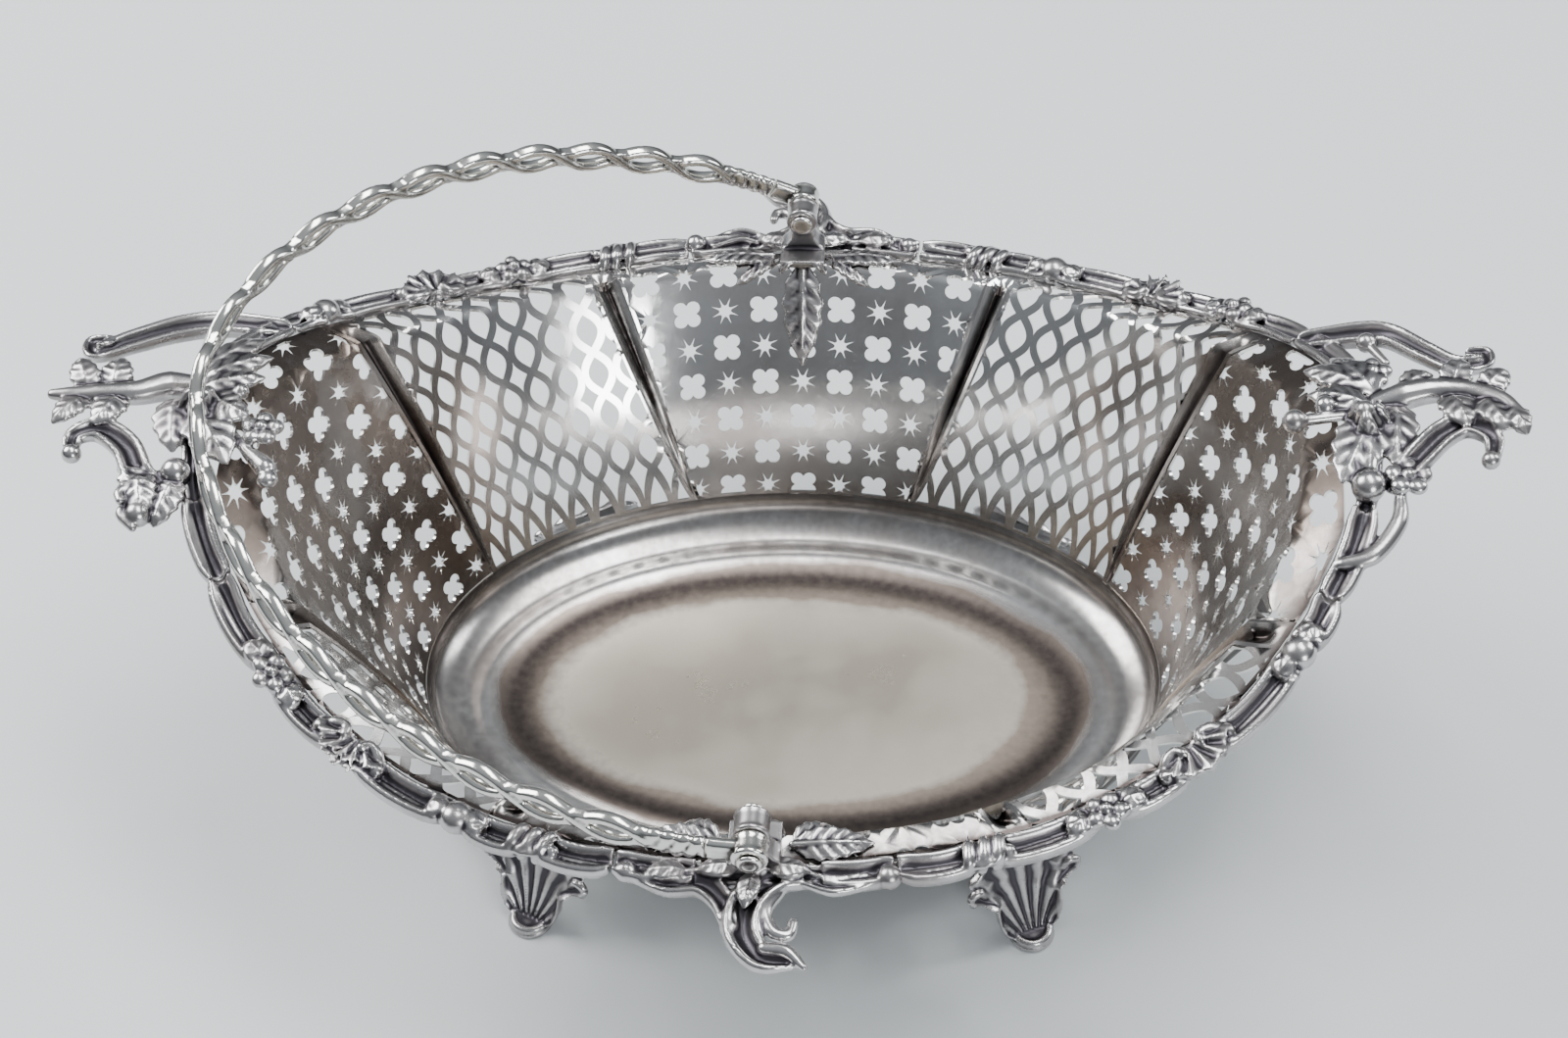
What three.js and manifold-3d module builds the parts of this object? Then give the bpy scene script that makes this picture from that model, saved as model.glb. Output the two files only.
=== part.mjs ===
import * as THREE from "three";
import { mergeVertices } from "three/addons/utils/BufferGeometryUtils.js";
import Module from "manifold-3d";

const wasm = await Module();
wasm.setup();

// A pierced silver cake basket: an oval boat-shaped body on four feet, cast borders, a swinging handle.
// Millimetres. X runs along the length, Y away from the viewer, Z up, feet on z = 0.

// Body: half axes of its rings with their heights, and the brim between the wall's crest and the rim
const floorLength = 72.7;
const floorWidth = 40.8;
const floorHeight = 13.4;
const bandLength = 97.9;
const bandWidth = 65.4;
const bandHeight = 25.2;
const rimLength = 142;
const rimWidth = 106.9;
const rimHeight = 81;
const rimEndRise = 37.3;
const boatSharpness = 4.37;
const brimEndReach = 14.9;
const brimSideReach = 10;
const brimEndRise = 7.6;
const brimSideFall = 1.6;
const wallFlare = 0.35;
const sheetThickness = 1.1;

// Flutes and pierced panels
const endFluteAngle = 30.7;
const sideFluteAngle = 70.8;
const fluteWidth = 6;
const fluteDepth = 2.4;
const pierceBar = 3;
const centreColumns = 5;
const centreRows = 5;
const latticeColumns = 4;
const latticeRows = 4;
const endColumns = 7;
const endRows = 4;

// Cast borders, butted against the brim's edge
const seatGap = 0.3;
const railRadius = 3.4;
const railChannel = 1.4;
const endCastingAngle = 24;
const centreCastingAngle = 77;
const ornamentLift = 2.2;
const beadRadius = 4.2;
const beadLift = 1;
const shellRadius = 10.5;
const shellRoot = 1.6;
const shellRibRise = 2;
const shellGrooveRise = 0.8;
const flowerRadius = 8;
const flowerOut = 0.5;
const flowerBoss = 3.6;
const petalRoot = 1.4;
const petalTip = 2.4;
const knotRadius = 5.2;
const knotLength = 9;

// Openwork crests of the two ends and of the two middles
const endReach = 36;
const endLift = 7;
const centreReach = 25;
const propRadius = 3;
const propFlare = 1.5;

// Hinges
const hingeRise = 14;
const hingeInset = 0.1;
const hingeGap = 0.4;
const barrelRadius = 4.3;
const lugLength = 6.5;
const knuckleLength = 6;
const pinRadius = 1.6;
const pinClearance = 0.3;
const pinHeadRadius = 2.9;
const pinHeadLength = 1.2;
const peenLength = 1;
const peenTaper = 0.6;
const lugWidth = 12;
const lugPlateRise = 1.5;
const leafLength = 24;
const leafWidth = 11;
const leafThickness = 1.6;
const sideLeafFrom = 4;
const sideLeafTo = 12;

// Handle: an interlaced band bent to an arch, lowered to one side
const bowTilt = 75;
const bowHeight = 143.5;
const bowRoundness = 1.71;
const bowTwist = 13.9;
const bowWidth = 8;
const bowWaist = 6.2;
const bowThickness = 3.4;
const linkPitch = 16.3;
const linkCount = 21;
const linkOpening = 2.6;
const linkOpeningLength = 7;
const neckLength = 5;
const neckSink = 1;

// Feet
const footAngle = 53.5;
const footTop = 27;
const footSplay = 10;
const footWidth = 31;
const footThickness = 2.4;
const footRib = 0.8;
const padRadius = 6;
const padHeight = 3;

const palette = {
  sheet: { color: 0xb9b4aa, roughness: 0.3, metalness: 1 },
  casting: { color: 0xc6c1b6, roughness: 0.26, metalness: 1 },
  bow: { color: 0xd2cdc2, roughness: 0.2, metalness: 1 },
  pin: { color: 0xa8a39a, roughness: 0.34, metalness: 1 },
};

const crestLength = rimLength - brimEndReach;
const crestWidth = rimWidth - brimSideReach;
const crestHeight = rimHeight + brimSideFall;
const crestEndRise = rimEndRise - brimEndRise;
const brimInset = railRadius + seatGap;
const hingeHeight = rimHeight + hingeRise;
const hingeWidth = rimWidth - hingeInset;
const basket = new THREE.Group();
const radians = THREE.MathUtils.degToRad;

function finish(name, geometry, tone) {
  const mesh = new THREE.Mesh(geometry, new THREE.MeshStandardMaterial(palette[tone]));
  mesh.name = name;
  return mesh;
}

// Closed geometries joined into one solid
function solidOf(geometry) {
  const bare = geometry.clone();
  for (const key of Object.keys(bare.attributes)) {
    if (key !== "position") bare.deleteAttribute(key);
  }
  const merged = mergeVertices(bare, 1e-4);
  const vertProperties = new Float32Array(merged.attributes.position.array);
  const triVerts = new Uint32Array(merged.index.array);
  return new wasm.Manifold(new wasm.Mesh({ numProp: 3, vertProperties, triVerts }));
}

function geometryOf(solid) {
  const mesh = solid.getMesh();
  const geometry = new THREE.BufferGeometry();
  geometry.setAttribute("position", new THREE.BufferAttribute(new Float32Array(mesh.vertProperties), 3));
  geometry.setIndex(new THREE.BufferAttribute(new Uint32Array(mesh.triVerts), 1));
  geometry.computeVertexNormals();
  return geometry;
}

// Castings are solid right through, so a pocket sealed in between joined pieces is filled
function join(...geometries) {
  const joined = geometries.map(solidOf).reduce((solid, piece) => solid.add(piece));
  const shells = joined.decompose().filter((shell) => shell.volume() > 0);
  return geometryOf(shells.reduce((solid, shell) => solid.add(shell)));
}

// The bowl's form by rings: -2 is the floor's centre, -1 its edge, 0 the band,
// 1 the wall's crest and 2 the brim's edge
function ringAxes(s) {
  if (s <= -1) return [floorLength * (s + 2), floorWidth * (s + 2)];
  if (s <= 0) {
    const round = 1 - s * s;
    return [
      floorLength + (bandLength - floorLength) * round,
      floorWidth + (bandWidth - floorWidth) * round,
    ];
  }
  if (s <= 1) {
    const out = 2 * s * (1 - s) * wallFlare + s * s;
    return [bandLength + (crestLength - bandLength) * out, bandWidth + (crestWidth - bandWidth) * out];
  }
  const out = s - 1;
  return [
    crestLength + (rimLength - brimInset - crestLength) * out,
    crestWidth + (rimWidth - brimInset - crestWidth) * out,
  ];
}

function ringHeight(angle, s) {
  if (s <= -1) return floorHeight;
  if (s <= 0) return floorHeight + (bandHeight - floorHeight) * (1 + s) ** 2;
  const boat = Math.abs(Math.cos(angle)) ** boatSharpness;
  const crest = crestHeight + crestEndRise * boat;
  if (s <= 1) return bandHeight + (crest - bandHeight) * s;
  return crest + (rimHeight + rimEndRise * boat - crest) * (s - 1);
}

function bowlPoint(degrees, s) {
  const angle = radians(degrees);
  const [a, b] = ringAxes(s);
  return new THREE.Vector3(a * Math.cos(angle), b * Math.sin(angle), ringHeight(angle, s));
}

function bowlNormal(degrees, s) {
  if (s < -1) return new THREE.Vector3(0, 0, -1);
  const step = 0.02;
  const along = bowlPoint(degrees + 0.5, s).sub(bowlPoint(degrees - 0.5, s));
  const up = bowlPoint(degrees, s + step).sub(bowlPoint(degrees, s - step));
  return along.cross(up).normalize();
}

function rimPoint(degrees, out = 0) {
  const angle = radians(degrees);
  const boat = Math.abs(Math.cos(angle)) ** boatSharpness;
  const onRim = new THREE.Vector3(
    rimLength * Math.cos(angle), rimWidth * Math.sin(angle), rimHeight + rimEndRise * boat,
  );
  return onRim.addScaledVector(rimOutward(degrees), out);
}

function rimOutward(degrees) {
  const angle = radians(degrees);
  return new THREE.Vector3(Math.cos(angle) / rimLength, Math.sin(angle) / rimWidth, 0).normalize();
}

// Flutes: narrow at the band, full width at the crest
const fluteAngles = [];
for (const side of [0, 180]) {
  for (const angle of [endFluteAngle, sideFluteAngle, 180 - sideFluteAngle, 180 - endFluteAngle]) {
    fluteAngles.push(side + angle);
  }
}

function fluteHalf(degrees, s) {
  const reach = bowlPoint(degrees + 0.5, 1).distanceTo(bowlPoint(degrees - 0.5, 1));
  return (fluteWidth / 2 / reach) * Math.min(1, Math.max(0, s));
}

// A sheet has an outer and an inner face over (along, across) places; holes and edges are closed by walls
class Sheet {
  constructor(place, closed = false) {
    this.place = place;
    this.closed = closed;
    this.points = [];
    this.faces = [];
    this.known = new Map();
  }

  vertex(u, s, side) {
    let turn = u;
    if (this.closed) turn = s <= -2 ? 0 : ((u % 360) + 360) % 360;
    const key = `${turn.toFixed(4)} ${s.toFixed(5)} ${side}`;
    if (!this.known.has(key)) {
      this.known.set(key, this.points.length);
      this.points.push(this.place(turn, s, side));
    }
    return this.known.get(key);
  }

  face(p, q, r) {
    const outer = [p, q, r].map(([u, s]) => this.vertex(u, s, 1));
    const inner = [p, r, q].map(([u, s]) => this.vertex(u, s, -1));
    if (new Set(outer).size === 3) this.faces.push(outer, inner);
  }

  wall(p, q) {
    const outer = [this.vertex(...p, 1), this.vertex(...q, 1)];
    const inner = [this.vertex(...p, -1), this.vertex(...q, -1)];
    if (outer[0] === outer[1]) return;
    this.faces.push([outer[0], outer[1], inner[1]], [outer[0], inner[1], inner[0]]);
  }

  quad(a, b, c, d) {
    this.face(a, b, c);
    this.face(a, c, d);
  }

  // A plain patch over columns and rows, closed along its whole edge
  patch(columns, rows) {
    for (let i = 0; i + 1 < columns.length; i += 1) {
      for (let j = 0; j + 1 < rows.length; j += 1) {
        const [left, right, low, high] = [columns[i], columns[i + 1], rows[j], rows[j + 1]];
        this.quad([left, low], [right, low], [right, high], [left, high]);
      }
    }
    const [left, right, low, high] = [columns[0], columns.at(-1), rows[0], rows.at(-1)];
    for (let i = 0; i + 1 < columns.length; i += 1) {
      this.wall([columns[i + 1], low], [columns[i], low]);
      this.wall([columns[i], high], [columns[i + 1], high]);
    }
    for (let j = 0; j + 1 < rows.length; j += 1) {
      this.wall([left, rows[j]], [left, rows[j + 1]]);
      this.wall([right, rows[j + 1]], [right, rows[j]]);
    }
    return this;
  }

  // The strip between two upright edges whose places may be spaced differently
  strip(left, right) {
    let i = 0;
    let j = 0;
    while (i + 1 < left.length || j + 1 < right.length) {
      const leftNext = i + 1 < left.length ? left[i + 1][1] : Infinity;
      const rightNext = j + 1 < right.length ? right[j + 1][1] : Infinity;
      if (leftNext <= rightNext) {
        this.face(left[i], right[j], left[i + 1]);
        i += 1;
      } else {
        this.face(left[i], right[j], right[j + 1]);
        j += 1;
      }
    }
  }

  // A cell with one hole: both loops run the same way round the centre
  pierced(outline, hole, centre, aspect) {
    const turn = (p) => Math.atan2(p[1] - centre[1], (p[0] - centre[0]) * aspect);
    const start = turn(hole[0]) - 1e-4;
    const turned = (p) => ((((turn(p) - start) / (2 * Math.PI)) % 1) + 1) % 1;
    const around = (loop) => {
      const ordered = loop.map((p) => ({ p, at: turned(p) })).sort((a, b) => a.at - b.at);
      return [...ordered, { p: ordered[0].p, at: ordered[0].at + 1 }];
    };
    const outer = around(outline);
    const inner = around(hole);
    let i = 0;
    let j = 0;
    while (i + 1 < outer.length || j + 1 < inner.length) {
      const outerNext = i + 1 < outer.length ? outer[i + 1].at : Infinity;
      const innerNext = j + 1 < inner.length ? inner[j + 1].at : Infinity;
      if (innerNext < outerNext) {
        this.face(outer[i].p, inner[j + 1].p, inner[j].p);
        j += 1;
      } else {
        this.face(outer[i].p, outer[i + 1].p, inner[j].p);
        i += 1;
      }
    }
    hole.forEach((p, k) => this.wall(p, hole[(k + 1) % hole.length]));
  }

  geometry() {
    const geometry = new THREE.BufferGeometry();
    const positions = this.points.flatMap((p) => [p.x, p.y, p.z]);
    geometry.setAttribute("position", new THREE.Float32BufferAttribute(positions, 3));
    geometry.setIndex(this.faces.flat());
    return outward(geometry);
  }
}

// A closed geometry with its faces turned outward
function outward(geometry) {
  const [points, index] = [geometry.attributes.position, geometry.index.array];
  const at = (k) => new THREE.Vector3().fromBufferAttribute(points, index[k]);
  let volume = 0;
  for (let k = 0; k < index.length; k += 3) volume += at(k).dot(at(k + 1).cross(at(k + 2)));
  if (volume < 0) geometry.setIndex(Array.from(index).reverse());
  geometry.computeVertexNormals();
  return geometry;
}

// Rings of equal count joined into one closed solid with flat ends
function loft(rings) {
  const count = rings[0].length;
  const points = rings.flat();
  const faces = [];
  for (let i = 0; i + 1 < rings.length; i += 1) {
    for (let k = 0; k < count; k += 1) {
      const [a, b] = [i * count + k, i * count + ((k + 1) % count)];
      faces.push([a, b, b + count], [a, b + count, a + count]);
    }
  }
  const last = (rings.length - 1) * count;
  for (let k = 1; k + 1 < count; k += 1) {
    faces.push([0, k + 1, k], [last, last + k, last + k + 1]);
  }
  const geometry = new THREE.BufferGeometry();
  const positions = points.flatMap((p) => p.toArray());
  geometry.setAttribute("position", new THREE.Float32BufferAttribute(positions, 3));
  geometry.setIndex(faces.flat());
  return outward(geometry);
}

// Hole outlines in a cell: tips alternate with notches round the centre
const holeForms = {
  quatrefoil: { points: 8, tip: 1.15, notch: 0.62, turn: 45 },
  lozenge: { points: 4, tip: 1, notch: 1, turn: 0 },
  almond: { points: 6, tip: 1, notch: 1, turn: 90 },
  star: { points: 8, tip: 1.2, notch: 0.5, turn: 45 },
};

function holeLoop(form, centre, halfU, halfS) {
  const { points, tip, notch, turn } = holeForms[form];
  const loop = [];
  for (let k = 0; k < points; k += 1) {
    const angle = radians(turn + (k * 360) / points);
    const radius = k % 2 === 0 ? tip : notch;
    loop.push([centre[0] + radius * halfU * Math.cos(angle), centre[1] + radius * halfS * Math.sin(angle)]);
  }
  return loop;
}

// Pierced panels run from flute to flute, their columns fanning out towards the crest
const centreForms = ["quatrefoil", "lozenge"];
const latticeForms = ["almond", "star"];

function wallPanels() {
  const centre = { columns: centreColumns, rows: centreRows, forms: centreForms };
  const lattice = { columns: latticeColumns, rows: latticeRows, forms: latticeForms };
  const end = { columns: endColumns, rows: endRows, forms: centreForms, piercedBrim: true };
  return fluteAngles.map((from, index) => {
    const to = index + 1 < fluteAngles.length ? fluteAngles[index + 1] : fluteAngles[0] + 360;
    const kind = [lattice, centre, lattice, end][index % 4];
    return { ...kind, from, to };
  });
}

const panels = wallPanels();

function columnPlace(panel, column, s) {
  const left = panel.from + fluteHalf(panel.from, s);
  const right = panel.to - fluteHalf(panel.to, s);
  return left + ((right - left) * column) / panel.columns;
}

function pierceCell(sheet, panel, column, low, high, form) {
  const corners = [
    [columnPlace(panel, column, low), low],
    [columnPlace(panel, column + 1, low), low],
    [columnPlace(panel, column + 1, high), high],
    [columnPlace(panel, column, high), high],
  ];
  const centre = [0, 1].map((axis) => corners.reduce((sum, p) => sum + p[axis], 0) / 4);
  const spanU = (corners[1][0] - corners[0][0] + corners[2][0] - corners[3][0]) / 2;
  const sides = [-0.5, 0.5].map((k) => bowlPoint(centre[0] + k * spanU, centre[1]));
  const width = sides[0].distanceTo(sides[1]);
  const height = bowlPoint(centre[0], low).distanceTo(bowlPoint(centre[0], high));
  const halfU = (spanU / 2) * (1 - pierceBar / width);
  const halfS = ((high - low) / 2) * (1 - pierceBar / height);
  sheet.pierced(corners, holeLoop(form, centre, halfU, halfS), centre, (high - low) / spanU);
}

function piercePanel(sheet, panel) {
  for (let column = 0; column < panel.columns; column += 1) {
    for (let row = 0; row < panel.rows; row += 1) {
      const form = panel.forms[(row + column) % 2];
      pierceCell(sheet, panel, column, row / panel.rows, (row + 1) / panel.rows, form);
    }
    const [left, right] = [columnPlace(panel, column, 1), columnPlace(panel, column + 1, 1)];
    if (panel.piercedBrim) pierceCell(sheet, panel, column, 1, 2, panel.forms[(panel.rows + column) % 2]);
    else sheet.quad([left, 1], [right, 1], [right, 2], [left, 2]);
    sheet.wall([left, 2], [right, 2]);
  }
}

// A flute is a groove pressed outward, from a point at the band to its full width at the crest
const fluteRows = [0, 0.35, 0.7, 0.9, 1];

function fluteOut(degrees, s) {
  const onFlute = fluteAngles.some((angle) => Math.abs(angle - degrees) < 1e-3);
  return onFlute && s > 0 && s < 1 ? fluteDepth * s : 0;
}

function pressFlute(sheet, before, after) {
  const degrees = after.from;
  const middle = fluteRows.map((s) => [degrees, s]);
  const edge = (side, rows) => Array.from({ length: rows + 1 }, (_, row) => {
    return [degrees + side * fluteHalf(degrees, row / rows), row / rows];
  });
  sheet.strip(edge(-1, before.rows), middle);
  sheet.strip(middle, edge(1, after.rows));
  const across = [-1, 0, 1].map((side) => degrees + side * fluteHalf(degrees, 1));
  for (const [left, right] of [[across[0], across[1]], [across[1], across[2]]]) {
    sheet.quad([left, 1], [right, 1], [right, 2], [left, 2]);
    sheet.wall([left, 2], [right, 2]);
  }
}

function bodyPlace(u, s, side) {
  return bowlPoint(u, s).addScaledVector(bowlNormal(u, s), (side * sheetThickness) / 2 + fluteOut(u, s));
}

const shoulderRings = [-1, -0.6, 0];

function makeBody() {
  const sheet = new Sheet(bodyPlace, true);
  panels.forEach((panel, index) => {
    piercePanel(sheet, panel);
    pressFlute(sheet, panels.at(index - 1), panel);
    for (let column = 0; column < panel.columns; column += 1) {
      const [left, right] = [columnPlace(panel, column, 0), columnPlace(panel, column + 1, 0)];
      for (let ring = 0; ring + 1 < shoulderRings.length; ring += 1) {
        const [low, high] = [shoulderRings[ring], shoulderRings[ring + 1]];
        sheet.quad([left, low], [right, low], [right, high], [left, high]);
      }
      sheet.face([0, -2], [right, -1], [left, -1]);
    }
  });
  return finish("body", sheet.geometry(), "sheet");
}

// The cast rail: a round bar along the rim with a channel along its top
const railSides = 8;
const railStep = 5;

function railRing(degrees, radius) {
  const out = rimOutward(degrees);
  const ring = [];
  for (let k = 0; k < railSides; k += 1) {
    const angle = (k * 2 * Math.PI) / railSides;
    const onTop = k === railSides / 4;
    const facesBrim = Math.cos(angle) < -0.5;
    const reach = (facesBrim ? Math.min(radius, railRadius) : radius) - (onTop ? railChannel : 0);
    const point = rimPoint(degrees).addScaledVector(out, reach * Math.cos(angle));
    ring.push(point.add(new THREE.Vector3(0, 0, reach * Math.sin(angle))));
  }
  return ring;
}

function rail(from, to) {
  const steps = Math.max(1, Math.round(Math.abs(to - from) / railStep));
  const rings = [];
  for (let i = 0; i <= steps; i += 1) {
    rings.push(railRing(from + ((to - from) * i) / steps, railRadius));
  }
  return loft(rings);
}

// Two castings meet at a joint that takes up half the seating gap on each side
function jointHalf(degrees) {
  return seatGap / 2 / rimPoint(degrees).distanceTo(rimPoint(degrees + 1));
}

// Ornament made flat, set on the rim at an angle and sloped with it, its own y axis facing outward
function onRim(geometry, degrees, out = 0, lift = 0) {
  const away = rimOutward(degrees);
  const back = rimPoint(degrees - 1).sub(rimPoint(degrees + 1)).normalize();
  const up = back.clone().cross(away);
  const frame = new THREE.Matrix4().makeBasis(back, away, up);
  return geometry.applyMatrix4(frame.setPosition(rimPoint(degrees, out).addScaledVector(up, lift)));
}

function bead(radius = beadRadius) {
  return new THREE.SphereGeometry(radius, 6, 4);
}

// Shell: ribs fanned outward from a narrow hinge end, the grooves between them cut back a little
const shellRibs = 5;
const shellSpread = 150;
const shellHinge = 0.15;
const grooveReach = 0.9;

function shell() {
  const step = shellSpread / (2 * shellRibs);
  const columns = Array.from({ length: 2 * shellRibs + 1 }, (_, k) => 90 - shellSpread / 2 + k * step);
  const place = (degrees, s, side) => {
    const onRib = columns.indexOf(degrees) % 2 === 1;
    const reach = shellRadius * s * (onRib ? 1 : grooveReach);
    const top = shellRoot + s * (onRib ? shellRibRise : shellGrooveRise);
    const angle = radians(degrees);
    return new THREE.Vector3(reach * Math.cos(angle), reach * Math.sin(angle), side > 0 ? top : 0);
  };
  return new Sheet(place).patch(columns, [shellHinge, 1]).geometry();
}

// Flower: five petals round a raised boss
const petals = 5;
const petalNotch = 0.72;
const flowerRings = [
  { reach: 0, top: flowerBoss },
  { reach: 0.42, top: petalRoot },
  { reach: 1, top: petalTip },
];

function flower() {
  const place = (degrees, s, side) => {
    const ring = flowerRings[s + 2];
    const onPetal = Math.round((degrees * petals) / 180) % 2 === 0;
    const reach = flowerRadius * ring.reach * (onPetal || s < 0 ? 1 : petalNotch);
    const angle = radians(degrees);
    return new THREE.Vector3(reach * Math.cos(angle), reach * Math.sin(angle), side > 0 ? ring.top : 0);
  };
  const sheet = new Sheet(place, true);
  const step = 180 / petals;
  for (let k = 0; k < 2 * petals; k += 1) {
    const [left, right] = [k * step, (k + 1) * step];
    sheet.face([left, -2], [left, -1], [right, -1]);
    sheet.quad([left, -1], [left, 0], [right, 0], [right, -1]);
    sheet.wall([right, 0], [left, 0]);
  }
  return sheet.geometry();
}

// Knot: a collar round the rail with a slight waist
const knotWaist = 0.86;

function knot(degrees) {
  const half = knotLength / 2 / rimPoint(degrees).distanceTo(rimPoint(degrees + 1));
  const radii = [railRadius, knotRadius, knotRadius * knotWaist, knotRadius, railRadius];
  return loft(radii.map((radius, i) => railRing(degrees + (i / 2 - 1) * half, radius)));
}

// Four border castings; those across the middle from each other are alike
const ornamentAngles = {
  flowerInside: { knot: 68.9, flower: 56.4, shell: 45.5, bead: 30.6 },
  beadInside: { knot: 68.9, bead: 61.1, shell: 47.6, flower: 36.2 },
};

function makeBorder(name, turn, mirror, kind) {
  const onSide = (degrees) => turn + mirror * degrees;
  const at = ornamentAngles[kind];
  const from = onSide(endCastingAngle + jointHalf(endCastingAngle));
  const to = onSide(centreCastingAngle - jointHalf(centreCastingAngle));
  const pieces = [
    rail(from, to),
    knot(onSide(at.knot)),
    onRim(bead(), onSide(at.bead), beadRadius - railRadius, beadLift),
    onRim(shell(), onSide(at.shell), -shellRadius / 3, ornamentLift),
    onRim(flower(), onSide(at.flower), flowerOut, ornamentLift),
  ];
  return finish(name, join(...pieces), "casting");
}

// A value at a share of the way along a list of values
function along(values, t) {
  const at = Math.min(t, 0.9999) * (values.length - 1);
  const low = Math.floor(at);
  return values[low] + (values[low + 1] - values[low]) * (at - low);
}

// A scroll: a round strand through a few points, its radius changing along it
const scrollSides = 5;

function scroll(points, radii) {
  const curve = new THREE.CatmullRomCurve3(points.map((p) => new THREE.Vector3(...p)));
  const steps = 2 * (points.length - 1);
  const rings = [];
  for (let i = 0; i <= steps; i += 1) {
    const centre = curve.getPoint(i / steps);
    const tangent = curve.getTangent(i / steps);
    const side = tangent.clone().cross(new THREE.Vector3(0, 0, 1)).normalize();
    const up = side.clone().cross(tangent);
    const radius = along(radii, i / steps);
    const ring = [];
    for (let k = 0; k < scrollSides; k += 1) {
      const angle = (k * 2 * Math.PI) / scrollSides;
      const point = centre.clone().addScaledVector(side, radius * Math.cos(angle));
      ring.push(point.addScaledVector(up, radius * Math.sin(angle)));
    }
    rings.push(ring);
  }
  return loft(rings);
}

function ball(at, radius) {
  return bead(radius).translate(...at);
}

// A pointed leaf from its root to its tip, ridged along the middle
function leaf(root, tip, half, thickness) {
  const from = new THREE.Vector3(...root);
  const to = new THREE.Vector3(...tip);
  const ahead = to.clone().sub(from);
  const side = new THREE.Vector3(-ahead.y, ahead.x, 0).normalize();
  const widths = [0.45, 1, 0.8, 0.15];
  const place = (u, s, face) => {
    const point = from.clone().addScaledVector(ahead, u / (widths.length - 1));
    point.addScaledVector(side, s * half * widths[u]);
    const ridge = s === 0 ? 1 : 0.5;
    return point.add(new THREE.Vector3(0, 0, (face * ridge * thickness) / 2));
  };
  return new Sheet(place).patch([0, 1, 2, 3], [-1, 0, 1]).geometry();
}

// A place on an end crest: how far out of the rim, how far across the end, and how far above the crest
function crestPlace(way, out, y, lift = 0) {
  const turn = Math.atan2(y / rimWidth, (rimLength + out) / rimLength);
  const rim = rimHeight + rimEndRise * Math.cos(turn) ** boatSharpness;
  return [way * (rimLength + out), y, rim + (endLift * Math.max(0, out)) / endReach + lift];
}

// Strands of an end crest by out, across and radius, its balls, and its leaves by root and tip
const endStrands = {
  backScroll: [[-11, 39, 2.4], [3, 39, 2.8], [12, 33, 2.6], [21, 20, 2.4], [27, 18, 2], [26, 23, 1.6]],
  stem: [[0, 9, 2.2], [14, 9, 2.6], [24, 7, 2.2], [endReach, -1, 1.2]],
  frontScroll: [[-1, -22, 2.2], [10, -10, 2.4], [20, -2, 2.4], [26, -6, 2.2], [25, -14, 1.6]],
  tendril: [[19, 22, 1.8], [24, 13, 1.6], [28, 5, 1.4]],
  rimCurl: [[-5, -22, 2.6], [3, -27, 2.4], [-2, -34, 2.2], [-9, -34, 1.8]],
};
const endBalls = [{ at: [25, -14], radius: 3.2 }, { at: [4, -31], radius: 4 }];
const endLeaves = [
  { root: [15, 8], tip: [33, 13], half: 3.4, thickness: 2.4 },
  { root: [17, 6], tip: [30, -4], half: 3.2, thickness: 2.4 },
  { root: [0, -5, 2], tip: [14, -16, 2], half: 4.6, thickness: 3 },
  { root: [-1, 10, 2], tip: [-13, 18, 2.5], half: 4.6, thickness: 3 },
  { root: [-1, -8, 2], tip: [-13, -14, 2.5], half: 4.6, thickness: 3 },
];

function strands(list, place) {
  return Object.values(list).map((strand) => {
    return scroll(strand.map(([first, second]) => place(first, second)), strand.map((at) => at[2]));
  });
}

// End casting: the rail goes on round the end and carries an openwork crest of scrolls and leaves
function makeEnd(name, way) {
  const place = (...spot) => crestPlace(way, ...spot);
  const centre = way > 0 ? 0 : 180;
  const half = endCastingAngle - jointHalf(endCastingAngle);
  const pieces = [
    rail(centre - half, centre + half),
    ...strands(endStrands, place),
    ...endBalls.map(({ at, radius }) => ball(place(...at), radius)),
    ...endLeaves.map(({ root, tip, half: width, thickness }) => {
      return leaf(place(...root), place(...tip), width, thickness);
    }),
    prop(way),
  ];
  return finish(name, join(...pieces), "casting");
}

// The tapered boss that the lowered handle rests on
const propSides = 8;

function prop(way) {
  const under = [-1, 1].map((side) => bowPlace(-propRadius, -1, side));
  const top = Math.min(under[0].z, under[1].z) - seatGap;
  const foot = rimHeight + rimEndRise + railRadius / 2;
  const boss = new THREE.CylinderGeometry(propRadius, propRadius + propFlare, top - foot, propSides);
  boss.rotateX(Math.PI / 2);
  return boss.translate((-way * (under[0].x + under[1].x)) / 2, 0, (top + foot) / 2);
}

// Strands of a middle crest by place along the rim, out of it and radius, and its balls
const centreStrands = {
  smallScroll: [[22, 0, 2], [13, -1, 2.2], [6, 12, 1.6]],
  largeScroll: [[-12, -1, 2.2], [1, 5, 2.6], [2, 15, 2.4], [-3, 23, 2.2], [-11, centreReach, 1.2]],
  innerCurl: [[1, 6, 1.8], [-5, 11, 1.8], [-8, 18, 1.4]],
  sideScroll: [[-10, 0, 2.2], [-16, 6, 2.4], [-24, 2, 1.6]],
};
const centreBalls = [{ at: [6, 12], radius: 3 }, { at: [-8, 18], radius: 2.4 }];

// Middle casting below a hinge: the rail with its scrolls standing outward
function makeCentre(name, way) {
  const place = (x, out) => [way * x, way * (rimWidth + out), rimHeight];
  const from = centreCastingAngle + jointHalf(centreCastingAngle);
  const turn = way > 0 ? 0 : 180;
  const pieces = [
    rail(turn + from, turn + 180 - from),
    ...strands(centreStrands, place),
    ...centreBalls.map(({ at, radius }) => ball(place(...at), radius)),
  ];
  return finish(name, join(...pieces), "casting");
}

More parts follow.
